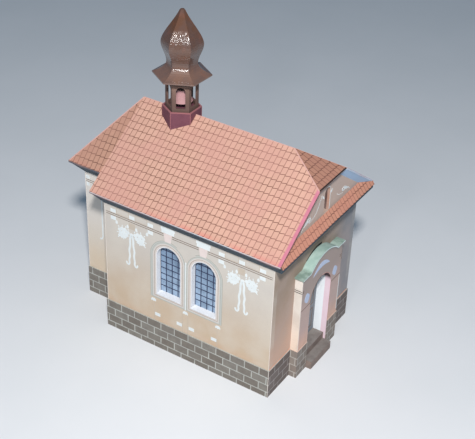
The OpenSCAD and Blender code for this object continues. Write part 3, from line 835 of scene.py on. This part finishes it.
# %% Helper that lays a drawing on a face
def lay(name, face, drawings, finish):
    """Makes one piece of the drawings, in the given finish."""
    corner, along, up, out = (Vector(v) for v in face)
    mesh = bpy.data.meshes.new(name)
    work = bmesh.new()
    for corners, sides in drawings:
        points = [work.verts.new((corner + u * along + v * up + w * out) * MM)
                  for u, v, w in corners]
        for side in sides:
            work.faces.new([points[i] for i in side])
    bmesh.ops.recalc_face_normals(work, faces=work.faces)
    work.to_mesh(mesh)
    work.free()
    mesh.materials.append(finishes[finish])
    piece = bpy.data.objects.new(name, mesh)
    bpy.context.scene.collection.objects.link(piece)
    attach(piece, "root")
    return piece


X, Y, Z = Vector((1, 0, 0)), Vector((0, 1, 0)), Vector((0, 0, 1))
SIDES = {
    "left": ((-SIDE, FRONT, 0), Y, Z, -X),
    "right": ((SIDE, FRONT, 0), Y, Z, X),
}
FRONT_FACE = ((0, FRONT, 0), X, Z, -Y)
PORTAL_FACE = ((0, PORTAL, 0), X, Z, -Y)
GABLE_FACE = ((0, GABLE, 0), X, Z, -Y)
NAVE_LENGTH = REAR - FRONT
print("faces:", ", ".join(SIDES))

# %% [markdown]
# Under the eaves runs a printed frieze: white tablets, two thin dark lines, and
# small drops. Each side wall has the same frieze, drawn once by its distance
# from the front and laid on both sides.

# %% Frieze tablets and drops
TABLET_UP = 67.8
LOW_TABLET_UP = 63.9
DROP_UP = 62.3
TABLETS = (5.8, 16.2, 26.5, 64.3, 74.5, 85.0)
LOW_TABLETS = (5.8, 26.6, 64.3, 85.0)
DROPS = (7.8, 13.9, 18.7, 24.8, 66.2, 72.2, 77.0, 83.2)
CAPS = (36.0, 54.8)


def tablet(u, v=TABLET_UP):
    """A white tablet."""
    return rect(u, v, 3.0, 1.8)


def low_tablet(u):
    """A tablet below the frieze lines."""
    return rect(u, LOW_TABLET_UP, 2.9, 1.9)


def drop(u, v=DROP_UP):
    """A small drop with a pointed top."""
    return outline([(u - 0.6, v - 0.75), (u, v - 1.05), (u + 0.6, v - 0.75),
                    (u + 0.6, v + 0.2), (u, v + 1.05), (u - 0.6, v + 0.2)])


def cap(u):
    """The stepped cap over a window."""
    return outline([(u - 3.4, 66.9), (u + 3.4, 66.9), (u + 3.4, 68.6), (u + 3.75, 68.6),
                    (u + 3.75, 69.9), (u - 3.75, 69.9), (u - 3.75, 68.6), (u - 3.4, 68.6)])


white = [tablet(u) for u in TABLETS]
white += [low_tablet(u) for u in LOW_TABLETS]
white += [drop(u) for u in DROPS]
white += [cap(u) for u in CAPS]
print("frieze parts:", len(white))

# %% [markdown]
# Between the windows stands one thin white stave. Below it and below the
# windows' outer corners are curled feet, with small tablets under them. They go
# on the same white layer.

# %% Staves and feet
FEET = (27.4, 45.1, 62.9)
FOOT_TABLETS = (29.4, 41.7, 48.4, 60.6)
FOOT_TABLET_UP = 19.4
STAVE = 45.1


def foot(u):
    """A foot with curled ends."""
    return outline([(u - 1.35, 26.4), (u - 0.7, 26.8), (u, 26.4), (u + 0.7, 26.8), (u + 1.35, 26.4),
                    (u + 1.35, 27.6), (u + 0.7, 28.2), (u - 0.7, 28.2), (u - 1.35, 27.6)])


white += [foot(u) for u in FEET]
white += [tablet(u, FOOT_TABLET_UP) for u in FOOT_TABLETS]
white.append(rect(STAVE, 42.3, 0.6, 26.6, LAYER + 0.02))
print("white parts:", len(white))

# %% [markdown]
# Each side wall carries two bouquets of white flowers with two ribbons. A
# bouquet is two clusters of small round flowers, a knot, leaves that stand up
# as spikes, and two wavy ribbons that part and curl out at their ends.

# %% Bouquets
BOUQUETS = (15.6, 74.9)
FLOWERS = ((2.1, 58.9, 2.1), (3.6, 59.8, 2.2), (5.3, 59.7, 2.3), (6.8, 58.9, 1.8), (2.7, 57.3, 2.1),
           (4.4, 57.9, 2.4), (6.2, 57.4, 2.2), (3.8, 56.0, 2.0), (5.4, 55.8, 2.2), (6.9, 55.8, 1.6))
LEAVES = ((1.8, 60.6, 60), (3.2, 61.5, 80), (5.2, 61.4, 100), (7.2, 60.4, 40), (7.8, 57.2, 0),
          (7.4, 54.8, -40), (4.5, 54.8, -80))
RIBBON = ((0.3, 58.2), (0.9, 55.6), (0.9, 52.6), (1.45, 49.6), (1.15, 46.8), (1.55, 44.2),
          (1.45, 42.4), (2.1, 41.3), (2.9, 41.7), (3.1, 42.8))


def bouquet(u):
    """A bouquet around its middle line."""
    parts = [oval(u, 58.5, 2.0, 1.5, thick=LAYER + 0.02)]
    for side in (-1, 1):
        for i, (du, v, size) in enumerate(FLOWERS):
            parts.append(oval(u + side * du, v, size, size * 0.92, 17 * i, 5, 0.1,
                              LAYER + 0.002 * i))
        for du, v, turn in LEAVES:
            parts.append(oval(u + side * du, v, 1.2, 0.5, side * turn + (180 if side < 0 else 0),
                              thick=LAYER * 0.8, steps=10))
        path = curve([(u + side * du, v) for du, v in RIBBON], 4)
        parts.append(line(path, 1.15, LAYER * 0.9, 0.75))
    return parts


for u in BOUQUETS:
    white += bouquet(u)
for side in SIDES:
    lay(side + "_wall_white_print", SIDES[side], white, "white_ink")
print("white parts:", len(white))

# %% [markdown]
# The thin lines of the print: two dark ones along the frieze, and faint ones
# that outline its panels and the fields below the staves.

# %% Frieze lines
KEYSTONE_HALF = 2.15
FRIEZE_LINES = (66.3, 65.3)
FRIEZE_LINE = 0.28
dark = []
ends = [1.0]
for u in CAPS:
    ends += [u - KEYSTONE_HALF - 0.2, u + KEYSTONE_HALF + 0.2]
ends.append(NAVE_LENGTH - 1.0)
for first, last in zip(ends[::2], ends[1::2]):
    for v in FRIEZE_LINES:
        dark.append(rect((first + last) / 2, v, last - first, FRIEZE_LINE))
for side in SIDES:
    lay(side + "_wall_dark_lines", SIDES[side], dark, "brown_ink")

faint = []
for first, last in ((7.6, 14.4), (18.0, 24.7), (66.1, 72.7), (76.3, 83.2)):
    middle, width = (first + last) / 2, last - first
    for v in (66.9, 69.9):
        faint.append(rect(middle, v, width, 0.25))
    for u in (first, last):
        faint.append(rect(u, 68.4, 0.25, 2.7))
for u in (16.2, 74.5):
    faint.append(rect(u, 63.0, 3.4, 3.2, LAYER * 0.6))
for u in (27.6, 43.6, 46.6, 62.4):
    faint.append(rect(u, 20.8, 0.25, 10.2))
for side in SIDES:
    lay(side + "_wall_faint_lines", SIDES[side], faint, "faint_ink")
print("lines:", len(dark) + len(faint))

# %% [markdown]
# A printed surround runs round each window: a light band at the edge, a beige
# line, a pale band, a blue-grey shade and a grey rim. Outside them a halo and
# its thin edge run round the pair, open where the two windows meet. A surround
# is a band between two arches, so one helper gives the arch's points and the
# rest is subtraction.

# %% Window surrounds
pane_low = span("left_window_sheets")[0]
lining_low, lining_high = span("left_window_linings")
WINDOW_R = 6.75
WINDOW_SPRING = 52.8
WINDOW_SILL = lining_low.z
WINDOWS = (lining_low.y - FRONT + WINDOW_R, lining_high.y - FRONT - WINDOW_R)


def arch(u, half, bottom, spring, steps=20):
    """The points of an upright opening with a round head."""
    points = [(u - half, bottom)]
    for i in range(steps + 1):
        angle = math.pi * (1 - i / steps)
        points.append((u + half * math.cos(angle), spring + half * math.sin(angle)))
    return points + [(u + half, bottom)]


def surround(first, last):
    """Bands round both windows, between two distances from the opening."""
    return [band(arch(u, WINDOW_R + first, WINDOW_SILL - first, WINDOW_SPRING),
                 arch(u, WINDOW_R + last, WINDOW_SILL - last, WINDOW_SPRING), ring=True)
            for u in WINDOWS]


SURROUND = (
    ("light", 0.02, 0.85, "surround_ink"),
    ("line", 0.85, 1.15, "beige_ink"),
    ("pale", 1.15, 1.7, "surround_ink"),
    ("shade", 1.7, 2.2, "blue_ink"),
    ("rim", 2.2, 2.42, "grey_ink"),
)
OPEN_SURROUND = (
    ("halo", 2.44, 3.0, "blue_ink"),
    ("edge", 3.0, 3.25, "grey_ink"),
)
OPEN_PARTS = (slice(0, 15), slice(8, 23))
OPEN_FOOT = WINDOW_SILL - 2.4


def open_surround(first, last):
    """Bands round the outer sides of the pair of windows."""
    return [band(arch(u, WINDOW_R + first, OPEN_FOOT, WINDOW_SPRING)[part],
                 arch(u, WINDOW_R + last, OPEN_FOOT, WINDOW_SPRING)[part])
            for u, part in zip(WINDOWS, OPEN_PARTS)]


for bands, shape_of in ((SURROUND, surround), (OPEN_SURROUND, open_surround)):
    for side, face in SIDES.items():
        for band_name, first, last, finish in bands:
            lay(side + "_surround_" + band_name, face, shape_of(first, last), finish)
print("windows at", [round(u, 1) for u in WINDOWS], "mm from the front")

# %% [markdown]
# A pale rose keystone stands over each window, between the ends of the frieze's
# dark lines. It narrows downwards, so it is one outline with four corners.

# %% Keystones
keystones = []
for u in CAPS:
    keystones.append(outline([(u - 1.65, 62.4), (u + 1.65, 62.4), (u + KEYSTONE_HALF, 66.8),
                              (u - KEYSTONE_HALF, 66.8)], LAYER + 0.03))
for side in SIDES:
    lay(side + "_keystones", SIDES[side], keystones, "keystone_ink")
print("keystones:", 2 * len(keystones))

# %% [markdown]
# The glazing bars lie on the window sheet, at the back of the lining. Uprights
# end where they meet the arch, and so do the cross bars, so each one's length
# comes from the circle. A sickle of the same ink under the arch is painted shade
# in the window's head.

# %% Glazing bars
LINING_EDGE = 0.36
PANE_R = WINDOW_R - LINING_EDGE
BAR_END_R = PANE_R - 0.2
BAR_PITCH = 3.25
CROSS_PITCH = 3.33
PANE_FACES = {
    "left": ((pane_low.x, FRONT, 0), Y, Z, -X),
    "right": ((-pane_low.x, FRONT, 0), Y, Z, X),
}


def bars(u):
    """The bars of one window, with a rim along its lining."""
    low = WINDOW_SILL + LINING_EDGE
    parts = [band(arch(u, BAR_END_R, low, WINDOW_SPRING), arch(u, PANE_R, low, WINDOW_SPRING),
                  0.16)]
    # The sickle under the arch is painted shade in the window's head.
    head_shade_in, head_shade_out = [], []
    for i in range(13):
        angle = math.radians(20 + 140 * i / 12)
        inner_r = PANE_R - (0.25 + 0.6 * math.sin(math.pi * i / 12))
        for radius, points in ((inner_r, head_shade_in), (PANE_R, head_shade_out)):
            points.append((u + radius * math.cos(angle),
                           WINDOW_SPRING + radius * math.sin(angle)))
    parts.append(band(head_shade_in, head_shade_out, 0.18))
    for du in (-BAR_PITCH, 0, BAR_PITCH):
        high = WINDOW_SPRING + math.sqrt(BAR_END_R ** 2 - du ** 2)
        parts.append(rect(u + du, (low + high) / 2, 0.4, high - low, 0.14))
    for k in range(1, 9):
        v = low + CROSS_PITCH * k
        above = max(v - WINDOW_SPRING, 0)
        half = math.sqrt(max(BAR_END_R ** 2 - above ** 2, 0))
        if half > 1.5:
            parts.append(rect(u, v, 2 * half, 0.36, 0.12))
    return parts


for side in PANE_FACES:
    lay(side + "_window_bars", PANE_FACES[side], bars(WINDOWS[0]) + bars(WINDOWS[1]),
        "navy_ink")
print("bar pitch", BAR_PITCH, "and", CROSS_PITCH, "mm")

# %% [markdown]
# Where printed card is folded or cut, a pale line of bare paper shows. These
# lines run up the corners of the side walls and along the top of the plinth,
# where they are salmon red in front and faint on the sides.

# %% Paper edges of the walls
EDGE = 0.22
WALL_TOP = 70.0
CORNER_TALL = WALL_TOP - plinth_high.z
CORNER_MIDDLE = (WALL_TOP + plinth_high.z) / 2
PLINTH_FACES = {
    "left": ((plinth_low.x, FRONT, 0), Y, Z, -X),
    "right": ((-plinth_low.x, FRONT, 0), Y, Z, X),
}
half_portal = portal_high.x
for side in SIDES:
    sign = -1 if side == "left" else 1
    corners = [rect(u, CORNER_MIDDLE, EDGE, CORNER_TALL)
               for u in (EDGE / 2 + 0.02, NAVE_LENGTH - EDGE / 2 - 0.02)]
    lay(side + "_wall_paper_edges", SIDES[side], corners, "cream_ink")
    lay(side + "_plinth_paper_edge", PLINTH_FACES[side],
        [rect(-0.2, plinth_high.z / 2, EDGE, plinth_high.z - 0.2)], "cream_ink")
    lay(side + "_plinth_line", SIDES[side],
        [rect(NAVE_LENGTH / 2, plinth_high.z + 0.18, NAVE_LENGTH - 0.8, 0.3)],
        "faint_ink")
    front_line = rect(sign * (half_portal + SIDE) / 2, plinth_high.z + 0.25,
                      SIDE - half_portal - 0.9, 0.45)
    lay(side + "_front_plinth_line", FRONT_FACE, [front_line], "salmon_ink")
print("edge", EDGE, "mm wide")

# %% [markdown]
# The chancel's walls repeat the frieze in short: tablets near the corner, the
# two dark lines, a drop, and a white stave with a curled foot beside the nave.
# The rear wall has the frieze and one bouquet in its middle.

# %% Chancel print
CHANCEL_FACES = {
    "left": ((-CHANCEL_SIDE, REAR, 0), Y, Z, -X),
    "right": ((CHANCEL_SIDE, REAR, 0), Y, Z, X),
}
CHANCEL_LENGTH = CHANCEL_REAR - REAR
stave = curve([(14.7, 58.0), (14.7, 40.0), (14.8, 36.6), (15.6, 35.0), (16.5, 35.2)], 5)
chancel_white = [rect(CHANCEL_LENGTH - 1.6, TABLET_UP, 2.2, 1.9), tablet(CHANCEL_LENGTH - 9.5),
                 rect(CHANCEL_LENGTH - 1.6, LOW_TABLET_UP, 1.7, 1.9),
                 drop(CHANCEL_LENGTH - 4.0), line(stave, 0.8), tablet(6.0)]
chancel_dark = [rect(CHANCEL_LENGTH / 2, v, CHANCEL_LENGTH - 1.2, FRIEZE_LINE)
                for v in FRIEZE_LINES]
chancel_edge = [rect(CHANCEL_LENGTH - EDGE / 2, CORNER_MIDDLE, EDGE, CORNER_TALL)]
for side, face in CHANCEL_FACES.items():
    lay(side + "_chancel_white_print", face, chancel_white, "white_ink")
    lay(side + "_chancel_dark_lines", face, chancel_dark, "brown_ink")
    lay(side + "_chancel_paper_edge", face, chancel_edge, "cream_ink")

BACK_FACE = ((0, CHANCEL_REAR, 0), X, Z, Y)
back_white = [tablet(u) for u in (-18.6, -9.3, 0, 9.3, 18.6)]
back_white += [low_tablet(u) for u in (-18.6, 18.6)]
back_white += [drop(u) for u in (-16.0, 16.0)] + bouquet(0)
back_dark = [rect(0, v, 2 * CHANCEL_SIDE - 1.2, FRIEZE_LINE) for v in FRIEZE_LINES]
back_edges = [rect(sign * (CHANCEL_SIDE - EDGE / 2), CORNER_MIDDLE, EDGE, CORNER_TALL)
              for sign in (-1, 1)]
lay("rear_white_print", BACK_FACE, back_white, "white_ink")
lay("rear_dark_lines", BACK_FACE, back_dark, "brown_ink")
lay("rear_paper_edges", BACK_FACE, back_edges, "cream_ink")
print("chancel", round(CHANCEL_LENGTH, 1), "mm long")

# %% [markdown]
# The roof card is folded at the hips and the ridge, where its paper shows as a
# thin pale crease. Along the front rakes lies a narrow rose strip. They are
# drawn on the slope: along the eaves and up the slope.

# %% Roof strips and creases
UP_SLOPE = math.cos(PITCH), math.sin(PITCH)
HIP_X = hip_high_corner.x
hip_up = (EAVE_X - HIP_X) / math.cos(PITCH)
hip_back = hip_high_corner.y - FRONT
rake = ROOF_FRONT - FRONT
RAKE_WIDTH = 1.5
slope_faces = {
    side: ((sign * EAVE_X, FRONT, EAVE), Y, (-sign * UP_SLOPE[0], 0, UP_SLOPE[1]),
           (sign * UP_SLOPE[1], 0, UP_SLOPE[0]))
    for side, sign in (("left", -1), ("right", 1))
}
hip_lean = (hip_back - rake) / (SLOPE - hip_up)
RIDGE_WAVES = 60
for side, face in slope_faces.items():
    strip = outline([(rake, 0.15), (rake + RAKE_WIDTH, 0.15),
                     (rake + RAKE_WIDTH, hip_up + RAKE_WIDTH / hip_lean), (rake, hip_up)])
    lay(side + "_rake_strip", face, [strip], "rose_ink")
    a, b = (rake + 0.35, hip_up + 0.25), (hip_back, SLOPE - 0.35)
    lay(side + "_hip_crease", face, [line([a, b], 0.42, LAYER + 0.02)], "crease_ink")
    low, high = [], []
    for i in range(RIDGE_WAVES + 1):
        u = hip_back + (ROOF_REAR - FRONT - hip_back) * i / RIDGE_WAVES
        high.append((u, SLOPE - 0.05))
        low.append((u, SLOPE - 0.32 - 0.12 * math.sin(2.3 * i) * math.cos(0.7 * i)))
    lay(side + "_ridge_crease", face, [band(low, high)], "crease_ink")
print("slope", round(SLOPE, 1), "mm, rake strip", RAKE_WIDTH, "mm")

# %% [markdown]
# A dark printed line ends the tiles at the lower edge of the half-hip.

# %% Lower edge of the half-hip
hip_half = (RIDGE - HIP_LOW) / math.tan(PITCH)
hip_face = ((0, ROOF_FRONT, HIP_LOW), X, (0, math.cos(HIP_PITCH), math.sin(HIP_PITCH)),
            (0, -math.sin(HIP_PITCH), math.cos(HIP_PITCH)))
lay("half_hip_edge_line", hip_face, [rect(0, 0.36, 2 * hip_half - 1.2, 0.6)], "black_ink")
print("half-hip", round(2 * hip_half, 1), "mm wide")

# %% [markdown]
# The chancel's hips have the same pale crease. Each hip runs from the ridge's
# end to the corner of the eaves, so the crease is drawn on the side slopes.

# %% Chancel creases
CSLOPE = (RIDGE - EAVE) / math.sin(CHANCEL_PITCH)
for side, sign in (("left", -1), ("right", 1)):
    face = ((sign * CHANCEL_EAVE_X, FRONT, EAVE), Y,
            (-sign * math.cos(CHANCEL_PITCH), 0, math.sin(CHANCEL_PITCH)),
            (sign * math.sin(CHANCEL_PITCH), 0, math.cos(CHANCEL_PITCH)))
    top = (ROOF_REAR - FRONT, CSLOPE - 0.3)
    foot_point = (CHANCEL_EAVE_Y - FRONT - 0.55, 0.2)
    lay(side + "_chancel_crease", face, [line([top, foot_point], 0.5)], "crease_ink")
print("chancel slope", round(CSLOPE, 1), "mm")

# %% [markdown]
# The gable is printed with scrolls on both sides of its niche: beaded lines
# that swing up from a leaf to the arch, and a white line round the niche. The
# beads are small ovals set along a smooth curve.

# %% Gable scrolls
NICHE_HALF = 2.3
NICHE_SPRING = 93.5 - NICHE_HALF
swing = curve([(14.8, 83.5), (11.0, 84.3), (8.3, 86.5), (6.8, 89.0), (5.0, 91.8)], 5)
half_arch = slice(8, None)
gable_white = [band(arch(0, NICHE_HALF + 0.15, 81.6, NICHE_SPRING, 16)[half_arch],
                    arch(0, NICHE_HALF + 0.45, 81.6, NICHE_SPRING, 16)[half_arch])]
for i, (u, v) in enumerate(swing):
    gable_white.append(oval(-u, v, 0.62, 0.5, 10 * i, 3, 0.15, LAYER + 0.001 * i, 10))
    if u > 9:
        gable_white.append(oval(u, v, 0.4, 0.3, 10 * i, 3, 0.15, LAYER + 0.001 * i, 10))
for sign in (-1, 1):
    gable_white.append(oval(sign * 3.6, 90.2, 1.9, 1.0, sign * 50, 3, 0.2, LAYER + 0.03))
    gable_white.append(oval(sign * 17.7, 84.6, 4.0, 1.3, sign * -25, 4, 0.12, LAYER + 0.03))
    ring_in, ring_out = [], []
    for i in range(20):
        angle = 2 * math.pi * i / 20
        ring_in.append((sign * (15.6 + 1.2 * math.cos(angle)), 85.2 + 0.6 * math.sin(angle)))
        ring_out.append((sign * (15.6 + 1.8 * math.cos(angle)), 85.2 + 1.05 * math.sin(angle)))
    gable_white.append(band(ring_in, ring_out, LAYER + 0.05, ring=True))
    tail = curve([(19.6, 83.9), (20.8, 83.1), (21.4, 82.2)], 4)
    gable_white.append(line([(sign * u, v) for u, v in tail], 0.45, taper=0.5))
lay("gable_white_print", GABLE_FACE, gable_white, "white_ink")
print("gable parts:", len(gable_white))

# %% [markdown]
# The niche is only as deep as the gable's own layer of card, so its back is the
# wall behind, printed brown. A thin sheet there gives it its colour, with a
# darker strip of painted shade down its left side.

# %% Niche back
NICHE_BACK = ((0, FRONT, 0), X, Z, -Y)
lay("niche_back", NICHE_BACK, [outline(arch(0, NICHE_HALF - 0.05, 81.2, NICHE_SPRING, 16))],
    "niche_ink")
lay("niche_shade", NICHE_BACK, [rect(0.45 - NICHE_HALF, 86.2, 1.3, 9.6, LAYER + 0.02)],
    "brown_ink")
print("niche", 2 * NICHE_HALF, "mm wide")

# %% [markdown]
# On the portal are pale blue shapes: a crescent over the arch and a rounded
# diamond on each shoulder. Thin dark lines mark where its arch springs, and short
# pairs of them lie at its outer edges. On the wall, a dark line of painted shade
# lies in the gap behind the capping, and there is one small dark mark on the right.

# %% Portal print
DOOR_HALF = 9.4
DOOR_SPRING = 38.0
low_edge, high_edge = [], []
for i in range(17):
    share = i / 16
    u = -8.6 + 15.0 * share
    low_edge.append((u, 51.4 + 1.5 * math.sin(math.pi * share)))
    high_edge.append((u, 51.5 + 4.2 * math.sin(math.pi * share) ** 0.8))
blue = [band(low_edge, high_edge)]
for u in (-13.0, 12.6):
    blue.append(oval(u, 42.8, 4.2, 5.4, 12, 4, 0.08))
lay("portal_blue_print", PORTAL_FACE, blue, "pale_blue_ink")
portal_dark = []
for sign in (-1, 1):
    middle = sign * (DOOR_HALF + half_portal) / 2
    portal_dark.append(rect(middle, DOOR_SPRING, half_portal - DOOR_HALF - 0.2, 0.3))
    for v in (48.1, 48.9):
        portal_dark.append(rect(sign * (half_portal - 0.9), v, 1.6, 0.25))
lay("portal_dark_lines", PORTAL_FACE, portal_dark, "brown_ink")
lay("portal_paper_edge", PORTAL_FACE, [rect(half_portal - 0.2, 27, 0.4, 20)], "white_ink")
lay("portal_left_edge", PORTAL_FACE, [rect(0.15 - half_portal, 35.3, 0.3, 39.0)], "cream_ink")

gap_shade_path = curve([(-9.0, 58.8), (-5.2, 60.7), (-2.6, 61.5), (0.4, 61.8), (4.4, 61.4)], 4)
mark = curve([(26.0, 45.5), (26.5, 43.5), (26.1, 41.5), (26.6, 40.0), (25.6, 38.6)], 3)
# The black line behind the capping is painted shade.
lay("front_gap_painted_shade", FRONT_FACE, [line(gap_shade_path, 1.2)], "black_ink")
lay("front_right_mark", FRONT_FACE, [line(mark, 0.55)], "brown_ink")

PORTAL_SIDES = {
    "left": ((-half_portal, PORTAL, 0), Y, Z, -X),
    "right": ((half_portal, PORTAL, 0), Y, Z, X),
}
DEPTH = FRONT - PORTAL
for side, face in PORTAL_SIDES.items():
    lay(side + "_portal_side_lines", face,
        [rect(DEPTH / 2, v, DEPTH - 0.1, 0.3) for v in (48.2, 49.2)], "black_ink")
    lay(side + "_portal_side_cap", face, [rect(DEPTH / 2, 52.5, DEPTH - 0.1, 4.4, LAYER * 0.8)],
        "cream_ink")
print("portal", round(DEPTH, 1), "mm deep")

# %% [markdown]
# Inside, the doorway is lined with pale paper: a rosy strip in front and a
# blue-white one behind it. Each lining is a band between two arches, and the
# soffit above fades to dark, partly print and partly painted shade. The arch's
# rim is a dark line of painted shade on the left and a pale crease on the right.

# %% Doorway linings
door_low = span("door")[0]
LINING = 0.06


def reveal_finish(name, color, patch):
    """A lining that turns dark in the arch's soffit, partly print and partly painted shade."""
    tree, shader, at = start_finish(name)
    # Dark above the spring: partly print and partly painted shade in the soffit.
    base = blend(tree, fade(tree, at["Z"], 39.0, 42.0), color, ink(58, 50, 50))
    print_card(tree, shader, base, patch, size=5, share=0.12, speck=0.1)


reveal_finish("rosy_lining", ink(229, 207, 217), ink(224, 172, 186))
reveal_finish("blue_lining", ink(238, 244, 248), ink(216, 226, 236))


def reveal(name, start_y, depth, bottom, finish):
    """A lining of the doorway, from start_y inwards."""
    parts = [band(arch(0, DOOR_HALF - LINING, bottom, DOOR_SPRING, 28),
                  arch(0, DOOR_HALF - 0.005, bottom, DOOR_SPRING, 28), depth)]
    lay(name, ((0, start_y, 0), X, Z, Y), parts, finish)


ROSY_DEPTH = 2.8
BLUE_START = PORTAL + ROSY_DEPTH
reveal("portal_reveal", PORTAL, ROSY_DEPTH, 0.05, "rosy_lining")
reveal("wall_reveal", BLUE_START, door_low.y - BLUE_START - 0.02, 0.05, "blue_lining")
arch_in = arch(0, DOOR_HALF, 8.0, DOOR_SPRING, 28)
arch_out = arch(0, DOOR_HALF + 0.3, 8.0, DOOR_SPRING, 28)
lay("portal_arch_edge", PORTAL_FACE, [band(arch_in[15:], arch_out[15:])], "crease_ink")
# The dark band on the arch's left is painted shade.
lay("portal_arch_shade", PORTAL_FACE, [band(arch_in[1:16], arch_out[1:16])], "brown_ink")
print("door", round(door_low.y - FRONT, 1), "mm behind the wall's face")

# %% [markdown]
# The door sheet shows two leaves. A seam, two panels on each leaf and a small
# knob are enough to read as a door at this size.

# %% Door leaves
DOOR_FACE = ((0, door_low.y, 0), X, Z, -Y)
leaf_lines = [rect(0, 25, 0.35, 34), rect(0, 38.2, 17.6, 0.45)]
for sign in (-1, 1):
    for low, high in ((11, 22), (24.5, 36)):
        inner = [(sign * 2.4, low + 0.4), (sign * 6.6, low + 0.4), (sign * 6.6, high - 0.4),
                 (sign * 2.4, high - 0.4)]
        outer = [(sign * 2.0, low), (sign * 7.0, low), (sign * 7.0, high), (sign * 2.0, high)]
        leaf_lines.append(band(inner, outer, 0.1, ring=True))
leaf_lines.append(oval(1.1, 23.2, 0.8, 0.8, thick=0.3, steps=12))
lay("door_leaf_lines", DOOR_FACE, leaf_lines, "brown_ink")
print("door lines:", len(leaf_lines))

# %% [markdown]
# The turret's base has a rosy paper rim round its top and up its corners. The
# hexagon's faces differ only in where they meet the roof, so one loop draws
# them, and each corner line starts just above the tiles.

# %% Rims of the turret
base_low, base_high = span("turret_base")
BASE_R = (base_high.x - base_low.x) / 2
AXIS_Y = (base_low.y + base_high.y) / 2
RIM = 0.32
FLAT = BASE_R * math.cos(math.radians(30))


def hexagon(radius):
    """The corners of a hexagon round the turret's axis."""
    angles = [math.radians(60 * i) for i in range(6)]
    return [(radius * math.cos(angle), AXIS_Y + radius * math.sin(angle)) for angle in angles]


top_rim = band(hexagon(BASE_R - 0.7), hexagon(BASE_R - 0.02), LAYER, ring=True)
lay("turret_rim", ((0, 0, base_high.z), X, Y, Z), [top_rim], "rim_ink")
for i in range(6):
    angle = math.radians(60 * i + 30)
    out = Vector((math.cos(angle), math.sin(angle), 0))
    along_face = Vector((-math.sin(angle), math.cos(angle), 0))
    middle = out * FLAT + Vector((0, AXIS_Y, 0))
    parts = [rect(0, base_high.z - RIM / 2, BASE_R - 0.1, RIM)]
    for sign in (-1, 1):
        corner = middle + along_face * (sign * BASE_R / 2)
        bottom = RIDGE - abs(corner.x) * math.tan(PITCH) + 0.1
        tall = base_high.z - RIM - bottom
        parts.append(rect(sign * (BASE_R / 2 - 0.1), bottom + tall / 2, 0.15, tall))
    lay("turret_rim_" + str(i + 1), (middle, along_face, Z, out), parts, "rim_ink")
print("turret at", round(AXIS_Y - FRONT, 1), "mm from the front")
